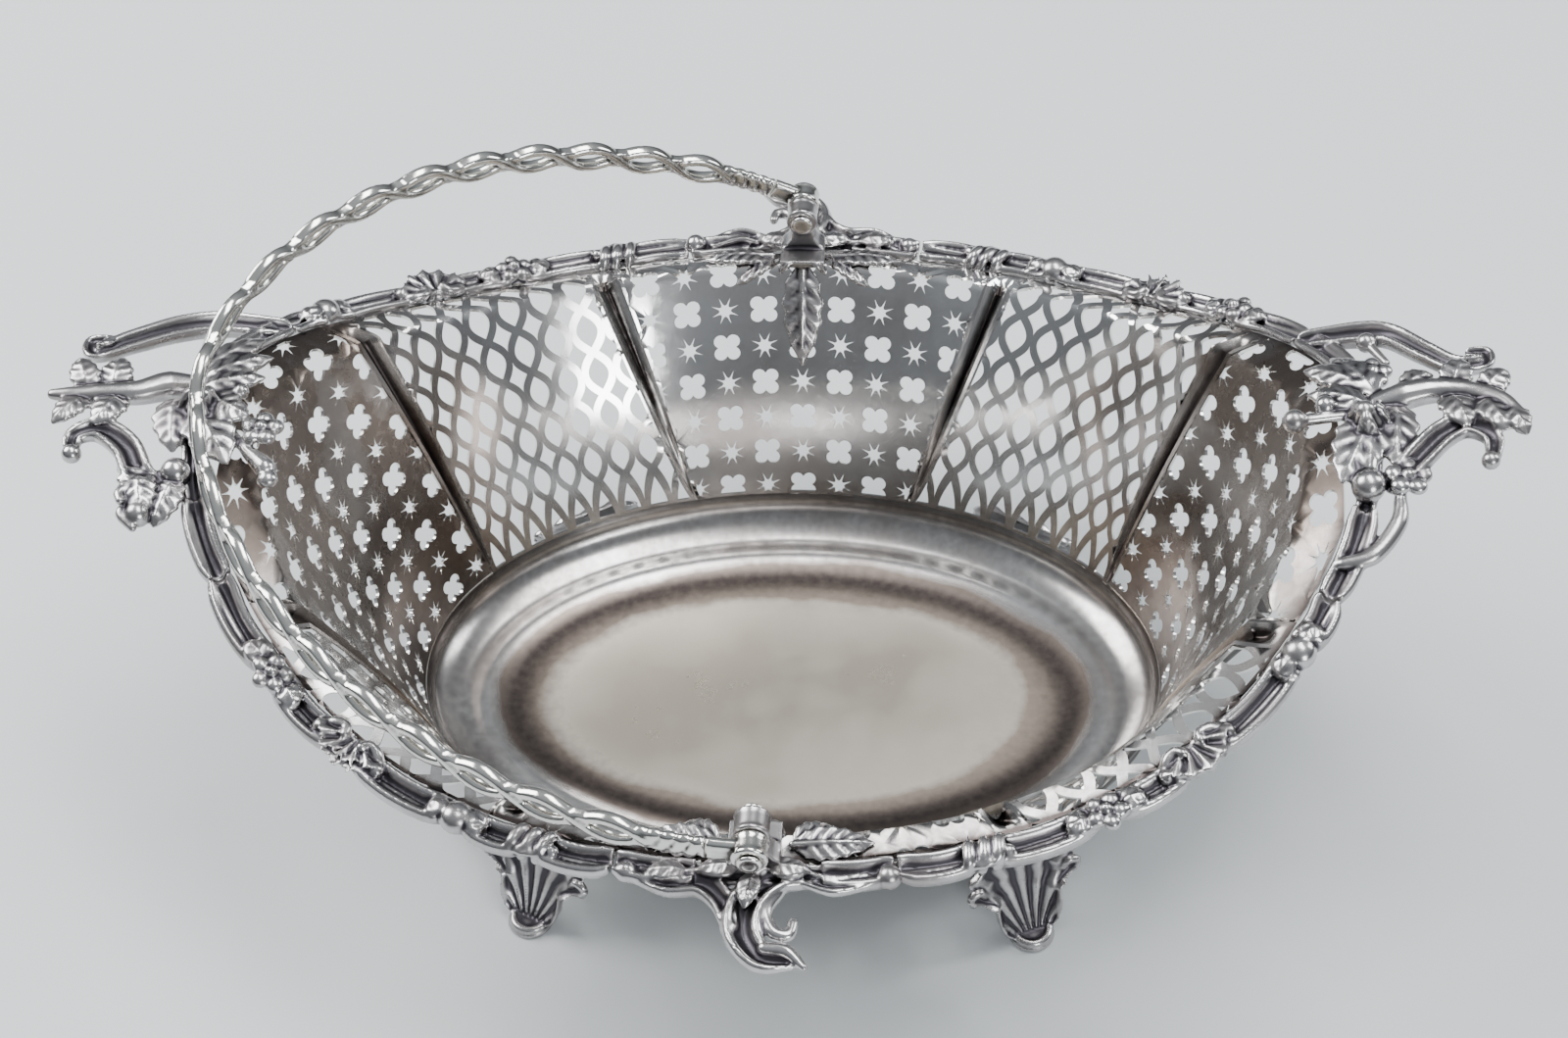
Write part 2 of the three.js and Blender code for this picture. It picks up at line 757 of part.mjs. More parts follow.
// The handle's own place at a height above the hinge axis and a width from the middle
function bowFrame(y, height, across) {
  const tilt = radians(bowTilt + (bowTwist * y) / -hingeOut);
  const rise = new THREE.Vector3(-Math.sin(tilt), 0, Math.cos(tilt));
  const normal = new THREE.Vector3(Math.cos(tilt), 0, Math.sin(tilt));
  const point = new THREE.Vector3(0, y, hingeHeight).addScaledVector(rise, height);
  return { point: point.addScaledVector(normal, across), rise, normal };
}

const hingeOut = hingeWidth + hingeGap / 2 + knuckleLength / 2;

function archPoint(turn) {
  const power = 2 / bowRoundness;
  const [c, s] = [Math.cos(turn), Math.sin(turn)];
  const across = hingeOut * Math.sign(c) * Math.abs(c) ** power;
  return new THREE.Vector2(-across, bowHeight * Math.abs(s) ** power);
}

// Places along the arch, evenly by length: the middle is 0
const archSteps = 720;
const archPoints = Array.from({ length: archSteps + 1 }, (_, k) => archPoint((k * Math.PI) / archSteps));
const archLengths = archPoints.reduce((sums, point, k) => {
  return [...sums, k === 0 ? 0 : sums[k - 1] + point.distanceTo(archPoints[k - 1])];
}, []);
const archHalf = archLengths.at(-1) / 2;

function archAt(length) {
  const wanted = length + archHalf;
  const k = Math.min(archSteps - 1, Math.max(0, archLengths.findIndex((sum) => sum > wanted) - 1));
  const part = (wanted - archLengths[k]) / (archLengths[k + 1] - archLengths[k]);
  return archPoints[k].clone().lerp(archPoints[k + 1], part);
}

function bowHalfWidth(length) {
  const links = length / linkPitch + linkCount / 2;
  const swell = links > 0 && links < linkCount ? Math.abs(Math.sin(Math.PI * links)) : 0;
  return (bowWaist + (bowWidth - bowWaist) * swell) / 2;
}

function bowPlace(length, s, side) {
  const middle = archAt(length);
  const ahead = archAt(length + 0.5).sub(archAt(length - 0.5)).normalize();
  const out = new THREE.Vector2(-ahead.y, ahead.x).multiplyScalar((side * bowThickness) / 2);
  return bowFrame(middle.x + out.x, middle.y + out.y, s * bowHalfWidth(length)).point;
}

// The interlaced band: one opening in each link, waisted where the strands cross
function makeBow() {
  const sheet = new Sheet(bowPlace);
  const end = (linkCount * linkPitch) / 2;
  const neck = archHalf - barrelRadius - neckLength - seatGap;
  for (let link = 0; link < linkCount; link += 1) {
    const left = link * linkPitch - end;
    const [middle, right] = [left + linkPitch / 2, left + linkPitch];
    const outline = [[left, -1], [middle, -1], [right, -1], [right, 1], [middle, 1], [left, 1]];
    const hole = [0, 60, 120, 180, 240, 300].map((degrees) => [
      middle + (linkOpeningLength / 2) * Math.cos(radians(degrees)),
      (linkOpening / bowWidth) * Math.sin(radians(degrees)),
    ]);
    sheet.pierced(outline, hole, [middle, 0], 1 / linkPitch);
    for (const [from, to] of [[left, middle], [middle, right]]) {
      sheet.wall([to, -1], [from, -1]);
      sheet.wall([from, 1], [to, 1]);
    }
  }
  for (const [from, to] of [[-neck, -end], [end, neck]]) {
    sheet.quad([from, -1], [to, -1], [to, 1], [from, 1]);
    sheet.wall([to, -1], [from, -1]);
    sheet.wall([from, 1], [to, 1]);
  }
  sheet.wall([-neck, -1], [-neck, 1]);
  sheet.wall([neck, 1], [neck, -1]);
  return finish("handle", sheet.geometry(), "bow");
}

const turnedSides = 10;

// A ring or plain turned piece along Y, given by radii and by places outward from the bowl
function turned(way, profile) {
  const points = profile.map(([radius, y]) => new THREE.Vector2(radius, y));
  const piece = new THREE.LatheGeometry(points, turnedSides);
  if (way < 0) piece.rotateX(Math.PI);
  return piece.translate(0, 0, hingeHeight);
}

function barrel(way, from, to) {
  const bore = pinRadius + pinClearance;
  return turned(way, [[bore, from], [barrelRadius, from], [barrelRadius, to], [bore, to], [bore, from]]);
}

const lugOuter = hingeWidth - hingeGap / 2;
const lugInner = lugOuter - lugLength;
const knuckleInner = hingeWidth + hingeGap / 2;
const knuckleOuter = knuckleInner + knuckleLength;

// Lug: barrel on a waisted stem, with a pointed leaf down the inside of the wall
const leafRows = [0, 0.35, 0.7, 1];

function lugLeaf(way) {
  const tip = 1 - leafLength / bowlPoint(90, 0).distanceTo(bowlPoint(90, 1));
  const degreesPerWidth = 1 / bowlPoint(90, 1).distanceTo(bowlPoint(91, 1));
  const widths = [0.1, 0.7, 1, 0.8];
  const place = (u, row, side) => {
    const s = tip + (1 - tip) * row;
    const degrees = way * 90 - u * (leafWidth / 2) * widths[leafRows.indexOf(row)] * degreesPerWidth;
    const ridge = u === 0 ? 1 : 0.5;
    const inward = sheetThickness / 2 + 2 * seatGap + (side > 0 ? leafThickness * ridge : 0);
    return bowlPoint(degrees, s).addScaledVector(bowlNormal(degrees, s), -inward);
  };
  return new Sheet(place).patch([-1, 0, 1], leafRows).geometry();
}

function lugStem(way) {
  const outline = new THREE.Shape();
  const foot = rimHeight + railRadius + seatGap;
  const top = hingeHeight - (barrelRadius + pinRadius) / 2;
  const neck = barrelRadius / 2;
  outline.moveTo(-lugWidth / 2, foot);
  outline.lineTo(lugWidth / 2, foot);
  outline.quadraticCurveTo(neck, foot + neck, neck, top);
  outline.lineTo(-neck, top);
  outline.quadraticCurveTo(-neck, foot + neck, -lugWidth / 2, foot);
  const settings = { depth: lugLength, bevelEnabled: false, curveSegments: 3 };
  const stem = new THREE.ExtrudeGeometry(outline, settings);
  stem.rotateX(Math.PI / 2);
  return way > 0 ? stem.translate(0, lugOuter, 0) : stem.translate(0, -lugInner, 0);
}

function makeLug(name, way) {
  const top = rimHeight + railRadius + seatGap + lugPlateRise;
  const low = bowlPoint(90, 1).z + sheetThickness / 2 + seatGap;
  const inner = bowlPoint(90, 1).y - 2 * leafThickness;
  const outer = rimWidth - railRadius - seatGap;
  const plate = new THREE.BoxGeometry(lugWidth, outer - inner, top - low);
  plate.translate(0, (way * (outer + inner)) / 2, (top + low) / 2);
  const pieces = [barrel(way, lugInner, lugOuter), lugStem(way), plate, lugLeaf(way)];
  return finish(name, join(...pieces), "casting");
}

// Pin: flat head inside the bowl, riveted end outside the knuckle
function makePin(name, way) {
  const headFrom = lugInner - seatGap - pinHeadLength;
  const end = knuckleOuter + seatGap;
  const profile = [
    [0, headFrom], [pinHeadRadius, headFrom], [pinHeadRadius, headFrom + pinHeadLength],
    [pinRadius, headFrom + pinHeadLength], [pinRadius, end],
    [pinHeadRadius, end], [pinHeadRadius - peenTaper, end + peenLength], [0, end + peenLength],
  ];
  return finish(name, turned(way, profile), "pin");
}

// Knuckle: the handle's own barrel, with a neck that the band is soldered to
function makeKnuckle(name, way) {
  const middle = way * hingeOut;
  const corners = [];
  for (const height of [barrelRadius - neckSink, barrelRadius + neckLength]) {
    for (const [out, across] of [[-1, -1], [1, -1], [1, 1], [-1, 1]]) {
      corners.push(bowFrame(middle + (out * bowThickness) / 2, height, (across * bowWaist) / 2).point);
    }
  }
  const neck = loft([corners.slice(0, 4), corners.slice(4)]);
  return finish(name, join(barrel(way, knuckleInner, knuckleOuter), neck), "bow");
}

// Side leaf: a cast leaf soldered on the brim beside a hinge, placed and widened by rings
const sideLeafRing = 1.42;
const sideLeafSpread = 0.22;

function makeSideLeaf(name, way, side) {
  const rows = [-1, 0, 1];
  const widths = [0.2, 1, 0.8, 0.2];
  const place = (u, row, face) => {
    const degrees = way * (90 - side * (sideLeafFrom + (u * (sideLeafTo - sideLeafFrom)) / 3));
    const s = sideLeafRing + row * sideLeafSpread * widths[u];
    const ridge = row === 0 ? leafThickness : leafThickness / 2;
    const above = sheetThickness / 2 + seatGap + (face > 0 ? ridge : 0);
    return bowlPoint(degrees, s).addScaledVector(bowlNormal(degrees, s), -above);
  };
  return finish(name, new Sheet(place).patch([0, 1, 2, 3], rows).geometry(), "casting");
}

// Foot: a ribbed shell that hugs the band, spreads into two wings and stands on a round pad
const padSides = 12;
const footCurve = 1.5;

function makeFoot(name, turn) {
  const rows = [0, 0.25, 0.5, 0.75, 1];
  const columns = [-1, -0.6, -0.2, 0.2, 0.6, 1];
  const spread = [0.5, 0.8, 1, 0.62, 0.3];
  const angle = radians(turn);
  const out = new THREE.Vector3(Math.cos(angle) / bandLength, Math.sin(angle) / bandWidth, 0).normalize();
  const across = new THREE.Vector3(-out.y, out.x, 0);
  const top = bowlPoint(turn, (footTop - bandHeight) / (crestHeight - bandHeight));
  const clear = sheetThickness / 2 + seatGap + footThickness / 2 + footRib;
  const place = (u, row, side) => {
    const t = rows.indexOf(row);
    const rib = columns.indexOf(u) % 2 === 0 ? footRib : -footRib;
    const away = clear + footSplay * row ** footCurve + rib + (side * footThickness) / 2;
    const point = top.clone().addScaledVector(out, away);
    point.addScaledVector(across, (u * spread[t] * footWidth) / 2);
    point.z = footTop + (padHeight / 2 - footTop) * row;
    return point;
  };
  const shellFoot = new Sheet(place).patch(columns, rows).geometry();
  const pad = new THREE.CylinderGeometry(padRadius, padRadius, padHeight, padSides).rotateX(Math.PI / 2);
  const centre = top.clone().addScaledVector(out, clear + footSplay);
  pad.translate(centre.x, centre.y, padHeight / 2);
  return finish(name, join(shellFoot, pad), "casting");
}

basket.add(makeBody());
for (const [name, turn, mirror, kind] of [
  ["border_back_right", 0, 1, "beadInside"],
  ["border_back_left", 180, -1, "flowerInside"],
  ["border_front_left", 180, 1, "beadInside"],
  ["border_front_right", 0, -1, "flowerInside"],
]) {
  basket.add(makeBorder(name, turn, mirror, kind));
}
basket.add(makeEnd("end_crest_right", 1), makeEnd("end_crest_left", -1));
for (const [place, way] of [["back", 1], ["front", -1]]) {
  basket.add(makeCentre(`middle_crest_${place}`, way));
  basket.add(makeLug(`hinge_lug_${place}`, way));
  basket.add(makePin(`hinge_pin_${place}`, way));
  basket.add(makeSideLeaf(`hinge_leaf_${place}_right`, way, 1));
  basket.add(makeSideLeaf(`hinge_leaf_${place}_left`, way, -1));
  basket.add(makeKnuckle(`handle_knuckle_${place}`, way));
}
basket.add(makeBow());
basket.add(makeFoot("foot_back_right", footAngle));
basket.add(makeFoot("foot_back_left", 180 - footAngle));
basket.add(makeFoot("foot_front_left", 180 + footAngle));
basket.add(makeFoot("foot_front_right", -footAngle));
export default basket;
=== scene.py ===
import math

import bmesh
import bpy
import numpy as np
from mathutils import Matrix, Vector


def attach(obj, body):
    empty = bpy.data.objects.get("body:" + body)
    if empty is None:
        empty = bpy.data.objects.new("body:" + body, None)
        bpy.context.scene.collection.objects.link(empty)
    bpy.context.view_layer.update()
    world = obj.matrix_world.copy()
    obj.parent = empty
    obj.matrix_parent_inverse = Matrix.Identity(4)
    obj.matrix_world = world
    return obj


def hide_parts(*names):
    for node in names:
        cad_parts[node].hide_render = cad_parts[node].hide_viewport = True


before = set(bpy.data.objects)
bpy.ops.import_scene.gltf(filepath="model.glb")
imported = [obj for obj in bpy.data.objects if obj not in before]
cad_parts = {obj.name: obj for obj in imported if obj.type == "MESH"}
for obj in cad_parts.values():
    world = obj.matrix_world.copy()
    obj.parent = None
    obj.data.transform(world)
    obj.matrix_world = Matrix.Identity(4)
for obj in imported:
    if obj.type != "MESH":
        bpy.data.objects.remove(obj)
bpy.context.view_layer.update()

mm = 0.001


# The studio: a pale seamless floor, a dim grey room and large softboxes, seen through a long lens
# from above the front of the basket.
view_azimuth, view_elevation, view_roll = (math.radians(angle) for angle in (5.79, 46.85, -3.31))
view_distance = 725.51 * mm
view_aim = Vector((-2.63, 31.92, 50)) * mm
view_lens = 62.26
floor_reach = 6
floor_grey = (0.66, 0.69, 0.70, 1)
room_low, room_high = (0.075, 0.078, 0.085, 1), (0.42, 0.45, 0.48, 1)
room_low_at, room_high_at = 0.05, 0.85


def add(tree, kind, inputs=None, **settings):
    """A new node with its settings, and with each named input linked or set."""
    node = tree.nodes.new(kind)
    for name, value in settings.items():
        setattr(node, name, value)
    for name, value in (inputs or {}).items():
        if isinstance(value, bpy.types.NodeSocket):
            tree.links.new(value, node.inputs[name])
        else:
            node.inputs[name].default_value = value
    return node


def new_material(name, **principled):
    """A material whose Principled shader has these inputs, given with underscores for spaces."""
    material = bpy.data.materials.new(name)
    material.use_nodes = True
    shader = material.node_tree.nodes["Principled BSDF"]
    for key, value in principled.items():
        shader.inputs[key.replace("_", " ")].default_value = value
    return material, material.node_tree, shader


def mix(tree, share, first, second):
    """A colour between two."""
    return add(tree, "ShaderNodeMixRGB", {"Fac": share, "Color1": first, "Color2": second}).outputs[0]


def stretch(tree, value, low, high):
    """A value stretched so that low becomes 0 and high becomes 1."""
    return add(tree, "ShaderNodeMapRange", {0: value, 1: low, 2: high}).outputs[0]


def new_piece(name, points, faces):
    """A plain mesh, as an object in the scene."""
    mesh = bpy.data.meshes.new(name)
    mesh.from_pydata([tuple(point) for point in points], [], [tuple(face) for face in faces])
    piece = bpy.data.objects.new(name, mesh)
    bpy.context.scene.collection.objects.link(piece)
    return piece


def softbox(name, place, aim, size, power, tint=(1, 1, 1)):
    """A soft rectangular lamp that faces the place it is aimed at."""
    light = bpy.data.lights.new(name, "AREA")
    light.shape = "RECTANGLE"
    light.size, light.size_y = size
    light.energy = power
    light.color = tint
    lamp = bpy.data.objects.new(name, light)
    bpy.context.scene.collection.objects.link(lamp)
    lamp.location = place
    lamp.rotation_euler = (Vector(aim) - Vector(place)).to_track_quat("-Z", "Y").to_euler()


camera = bpy.data.objects.new("camera", bpy.data.cameras.new("camera"))
bpy.context.scene.collection.objects.link(camera)
bpy.context.scene.camera = camera
toward_view = Vector((
    math.sin(view_azimuth) * math.cos(view_elevation),
    -math.cos(view_azimuth) * math.cos(view_elevation),
    math.sin(view_elevation),
))
view_level = (-toward_view).cross(Vector((0, 0, 1))).normalized()
view_upright = view_level.cross(-toward_view)
view_right = view_level * math.cos(view_roll) + view_upright * math.sin(view_roll)
view_up = view_upright * math.cos(view_roll) - view_level * math.sin(view_roll)
camera.matrix_world = Matrix.Translation(view_aim + toward_view * view_distance) @ Matrix(
    (view_right, view_up, toward_view)
).transposed().to_4x4()
camera.data.lens = view_lens
camera.data.clip_start = 0.01
camera.data.clip_end = 100

floor_material, *_ = new_material("floor", Base_Color=floor_grey, Roughness=0.7)
floor_corners = [(x * floor_reach, y * floor_reach, 0) for x, y in ((-1, -1), (1, -1), (1, 1), (-1, 1))]
floor = new_piece("floor", floor_corners, [(0, 1, 2, 3)])
floor.data.materials.append(floor_material)

room = bpy.data.worlds.new("room")
bpy.context.scene.world = room
room.use_nodes = True
# The room is dark at eye level and pale overhead
upward = add(room.node_tree, "ShaderNodeTexCoord").outputs["Generated"]
upward = add(room.node_tree, "ShaderNodeSeparateXYZ", {0: upward}).outputs["Z"]
overhead = stretch(room.node_tree, upward, room_low_at, room_high_at)
walls = mix(room.node_tree, overhead, room_low, room_high)
room.node_tree.links.new(walls, room.node_tree.nodes["Background"].inputs["Color"])
softbox("key", (-1.0, 0.35, 1.0), (0, 0, 0.05), (0.8, 0.8), 26)
softbox("top", (0.3, 0.15, 1.6), (0, 0, 0), (1.1, 0.5), 22)
softbox("front", (0.75, -1.25, 0.55), (0, 0, 0.06), (0.45, 0.5), 9, (0.96, 0.98, 1))
softbox("fill", (1.2, 0.5, 0.75), (0, 0, 0.05), (0.35, 0.7), 9, (0.95, 0.98, 1))


# The bowl: one sheet of silver raised over stakes, pierced with a fret saw in eight panels, fluted
# between them, and filed along every cut. Its mid-surface is a stack of ovals, given by an angle
# and by a level: -2 middle of the floor, -1 its edge, 0 the band, 1 the crest, 2 the brim's edge.
floor_size, floor_height = (72.7 * mm, 40.8 * mm), 13.4 * mm
band_size, band_height = (97.9 * mm, 65.4 * mm), 25.2 * mm
crest_size, crest_height, crest_end_rise = (127.1 * mm, 96.9 * mm), 82.6 * mm, 29.7 * mm
rim_size, rim_height, rim_end_rise = (142 * mm, 106.9 * mm), 81 * mm, 37.3 * mm
boat_sharpness = 4.37
wall_flare = 0.35
rail_radius = 3.4 * mm
brim_inset = rail_radius + 0.3 * mm
cut_thickness = 0.85 * mm
# A soft ridge round the floor: its height, its place up the shoulder from 0 to 1, and its width
ridge_height, ridge_at, ridge_spread = 1.2 * mm, 0.22, 0.11


def bowl(angles, levels):
    """Points of the sheet's mid-surface, for arrays of angles in radians and of levels."""
    angles, levels = np.broadcast_arrays(np.asarray(angles, float), np.asarray(levels, float))
    end = np.abs(np.cos(angles)) ** boat_sharpness
    crest = crest_height + crest_end_rise * end
    rim = rim_height + rim_end_rise * end
    on_floor = np.clip(levels + 2, 0, 1)
    up_shoulder = np.clip(levels + 1, 0, 1)
    up_wall = np.clip(levels, 0, 1)
    over_brim = np.clip(levels - 1, 0, 1)
    rounded = 1 - (1 - up_shoulder) ** 2
    out = 2 * up_wall * (1 - up_wall) * wall_flare + up_wall**2
    axes = []
    for k in range(2):
        reach = floor_size[k] * on_floor + (band_size[k] - floor_size[k]) * rounded
        reach = reach + (crest_size[k] - band_size[k]) * out
        axes.append(reach + (rim_size[k] - brim_inset - crest_size[k]) * over_brim)
    height = floor_height + (band_height - floor_height) * up_shoulder**2
    height = height + ridge_height * np.exp(-(((up_shoulder - ridge_at) / ridge_spread) ** 2))
    height = height + (crest - band_height) * up_wall + (rim - crest) * over_brim
    return np.stack([axes[0] * np.cos(angles), axes[1] * np.sin(angles), height], axis=-1)


def bowl_normals(angles, levels):
    """Outward unit normals of the bowl's sheet."""
    step = 1e-3
    round_it = bowl(angles + step, levels) - bowl(angles - step, levels)
    up_it = bowl(angles, levels + step) - bowl(angles, levels - step)
    normals = np.cross(round_it, up_it)
    return normals / np.maximum(np.linalg.norm(normals, axis=-1, keepdims=True), 1e-15)


# Lengths up the wall from the band, in steps of level, for every degree round the bowl
level_steps = np.linspace(0, 2, 161)
degree_steps = np.radians(np.arange(0, 361))
meridians = bowl(degree_steps[:, None], level_steps[None, :])
climbs = np.zeros(meridians.shape[:2])
climbs[:, 1:] = np.cumsum(np.linalg.norm(np.diff(meridians, axis=1), axis=2), axis=1)
step_length = level_steps[1]


def climbs_at(angles):
    """The lengths up the wall of all steps of level, for arrays of angles."""
    turn = np.degrees(angles) % 360
    low = np.floor(turn).astype(int)
    return climbs[low] + (climbs[(low + 1) % 361] - climbs[low]) * (turn - low)[:, None]


def level_at(angles, climb):
    """The level that lies a length up the wall at an angle."""
    rows = climbs_at(angles)
    k = np.clip((rows <= climb[:, None]).sum(axis=1) - 1, 0, len(level_steps) - 2)
    at = np.arange(len(k))
    part = (climb - rows[at, k]) / (rows[at, k + 1] - rows[at, k])
    return level_steps[k] + step_length * np.clip(part, 0, 1)


def reach_at(angles, levels):
    """How far the sheet reaches round there for one radian of angle."""
    step = 0.01
    return np.linalg.norm(bowl(angles + step, levels) - bowl(angles - step, levels), axis=-1) / (2 * step)


# The flutes lean: each stands at an angle that changes up the wall, and widens from a point
flute_half_width = 3.5 * mm
flute_depth = 2.4 * mm
flute_lip = 0.5 * mm
end_flute_foot, end_flute_lean = 30.5, 1.2
side_flute_foot, side_flute_lean = 72.1, 7
lean_power = 0.75
flute_point, flute_widening = 0.08, 0.7


def end_flute(levels):
    """The angle of the flute beside an end panel."""
    return np.radians(end_flute_foot - end_flute_lean * np.clip(levels, 0, 1) ** lean_power)


def side_flute(levels):
    """The angle of the flute beside a middle panel."""
    return np.radians(side_flute_foot - side_flute_lean * np.clip(levels, 0, 1) ** lean_power)


def flute_half(angles, levels):
    """Half the flute's width there, as an angle."""
    up = np.clip(levels, 0, 1)
    return flute_half_width * (flute_point + (1 - flute_point) * up**flute_widening) / reach_at(angles, up)


def flute_edge(flute, way, levels):
    """The angle of a flute's edge, on its side towards the end of the bowl (-1) or its middle (1)."""
    centre = flute(levels)
    return centre + way * flute_half(centre, levels)


# Pierced tiles: each is a hole's outline joined to the edge of its cell, flat and one cell across.
# The attribute hole_edge is 1 on the outline and 0 on the cell's edge.
outline_points = 32
lobe_reach, lobe_radius = 0.235, 0.182
star_core, star_shoulder, star_tip, star_twist = 0.145, 0.18, 0.385, 0.06
lens_points = 20
lens_width, lens_height = 0.315, 0.385


def cell_edge(k):
    """Point k of the square cell's edge, from its lower right corner."""
    side, part = divmod(k, outline_points // 4)
    part = part / (outline_points // 4) - 0.5
    x, y = (0.5, part)
    for _ in range(side):
        x, y = -y, x
    return x, y


def round_the_cell(k):
    return (k / outline_points) * 2 * math.pi - math.pi / 4


def quatrefoil(k):
    """Four round lobes on the cell's diagonals."""
    turn = round_the_cell(k)
    off = turn % (math.pi / 2) - math.pi / 4
    reach = lobe_reach * math.cos(off) + math.sqrt(lobe_radius**2 - (lobe_reach * math.sin(off)) ** 2)
    return reach * math.cos(turn), reach * math.sin(turn)


def star(k):
    """Eight thin rays round a small core."""
    reach = (star_core, star_shoulder, star_tip, star_shoulder)[k % 4]
    turn = round_the_cell(k) + (0, star_twist, 0, -star_twist)[k % 4]
    return reach * math.cos(turn), reach * math.sin(turn)


def along_tall(k):
    """Which side of a tall cell point k lies on, and its height from -1 to 1."""
    height = 4 * k / lens_points - 1
    return (1, height) if height <= 1 else (-1, 2 - height)


def lens(k, half_width, half_height):
    """A pointed oval between two bowed strands."""
    side, height = along_tall(k)
    return side * half_width * math.cos(math.pi * height / 2), half_height * height


def cusped(k, half_width, half_height):
    """The four-cusped gap between four ovals."""
    side, height = along_tall(k)
    return side * half_width * (1 - math.sin(math.pi * abs(height) / 2)), half_height * height


def mark(mesh, name, values):
    """Gives every point of a mesh a number, under a name that materials and scripts can read."""
    mesh.attributes.new(name, "FLOAT", "POINT").data.foreach_set("value", np.asarray(values, np.float32))


def make_tile(name, hole, edge):
    count = len(hole)
    faces = [(k, (k + 1) % count, count + (k + 1) % count, count + k) for k in range(count)]
    tile = new_piece(name, [(x, y, 0) for x, y in edge + hole], faces)
    mark(tile.data, "hole_edge", [0] * count + [1] * count)
    return tile


square = [cell_edge(k) for k in range(outline_points)]
around_lens = range(lens_points)
tiles = {
    "quatrefoil": make_tile("quatrefoil", [quatrefoil(k) for k in range(outline_points)], square),
    "star": make_tile("star", [star(k) for k in range(outline_points)], square),
    "oval": make_tile("oval", [lens(k, lens_width, lens_height) for k in around_lens],
                      [lens(k, 0.5, 0.5) for k in around_lens]),
    "gap": make_tile("gap", [cusped(k, lens_width, lens_height) for k in around_lens],
                     [cusped(k, 0.5, 0.5) for k in around_lens]),
}


def maths(tree, operation, *values, **settings):
    """What a Math node makes of numbers or sockets."""
    return add(tree, "ShaderNodeMath", dict(enumerate(values)), operation=operation, **settings).outputs[0]


def vector_maths(tree, operation, *values):
    return add(tree, "ShaderNodeVectorMath", dict(enumerate(values)), operation=operation).outputs[0]


def new_tree(name, **inputs):
    """A Geometry Nodes tree with these named inputs and one mesh out, and its inputs' sockets."""
    tree = bpy.data.node_groups.new(name, "GeometryNodeTree")
    for key, kind in inputs.items():
        tree.interface.new_socket(key.replace("_", " "), in_out="INPUT", socket_type="NodeSocket" + kind)
    tree.interface.new_socket("Geometry", in_out="OUTPUT", socket_type="NodeSocketGeometry")
    return tree, add(tree, "NodeGroupInput").outputs


def end_tree(tree, geometry, material):
    """The tree's last nodes: instances made real, in one material."""
    real = add(tree, "GeometryNodeRealizeInstances", {"Geometry": geometry}).outputs[0]
    covered = add(tree, "GeometryNodeSetMaterial", {"Geometry": real, "Material": material}).outputs[0]
    add(tree, "NodeGroupOutput", {"Geometry": covered})


def piercing_tree():
    """Two kinds of tile on a grid of cells: named sizes in, one plain mesh out."""
    tree, sizes = new_tree(
        "piercing", First_Tile="Object", Second_Tile="Object", Columns="Int", Rows="Int", Pitch="Vector",
        Start="Vector", Row_Shift="Float", Second_Offset="Vector", Material="Material")
    index = add(tree, "GeometryNodeInputIndex").outputs[0]
    column = maths(tree, "MODULO", index, sizes["Columns"])
    # The thousandth keeps a row's first cell from being rounded down into the row before
    row = maths(tree, "FLOOR", maths(tree, "DIVIDE", maths(tree, "ADD", index, 0.001), sizes["Columns"]))
    cell = add(tree, "ShaderNodeCombineXYZ", {"X": column, "Y": row}).outputs[0]
    shift = maths(tree, "MULTIPLY", maths(tree, "MODULO", row, 2), sizes["Row Shift"])
    shift = add(tree, "ShaderNodeCombineXYZ", {"X": shift}).outputs[0]
    place = vector_maths(tree, "ADD", vector_maths(tree, "MULTIPLY", cell, sizes["Pitch"]), shift)
    place = vector_maths(tree, "ADD", place, sizes["Start"])
    second = vector_maths(tree, "ADD", place, sizes["Second Offset"])
    count = maths(tree, "MULTIPLY", sizes["Columns"], sizes["Rows"])
    middle = add(tree, "GeometryNodeInputPosition").outputs[0]
    both = add(tree, "GeometryNodeJoinGeometry")
    for tile, spot in (("First Tile", place), ("Second Tile", second)):
        points = add(tree, "GeometryNodePoints", {"Count": count, "Position": spot}).outputs[0]
        shape = add(tree, "GeometryNodeObjectInfo", {"Object": sizes[tile]}).outputs["Geometry"]
        laid = add(tree, "GeometryNodeInstanceOnPoints", {"Points": points, "Instance": shape}).outputs[0]
        marked = add(tree, "GeometryNodeStoreNamedAttribute", {
            "Geometry": laid, "Name": "cell", "Value": middle}, data_type="FLOAT_VECTOR", domain="INSTANCE")
        tree.links.new(marked.outputs[0], both.inputs[0])
    end_tree(tree, both.outputs[0], sizes["Material"])
    return tree


def run_tree(name, tree, **values):
    """The plain mesh that a Geometry Nodes tree makes of these named values."""
    carrier = new_piece(name, [], [])
    modifier = carrier.modifiers.new(name, "NODES")
    modifier.node_group = tree
    for item in tree.interface.items_tree:
        if item.in_out == "INPUT" and item.name.replace(" ", "_") in values:
            modifier[item.identifier] = values[item.name.replace(" ", "_")]
    bpy.context.view_layer.update()
    evaluated = carrier.evaluated_get(bpy.context.evaluated_depsgraph_get())
    mesh = bpy.data.meshes.new_from_object(evaluated)
    carrier.modifiers.remove(modifier)
    bpy.data.objects.remove(carrier)
    return mesh


def read(mesh, name, width):
    """A mesh's point attribute as an array."""
    values = np.zeros(len(mesh.vertices) * width, np.float32)
    mesh.attributes[name].data.foreach_get("vector" if width == 3 else "value", values)
    return values.astype(float).reshape(-1, width)


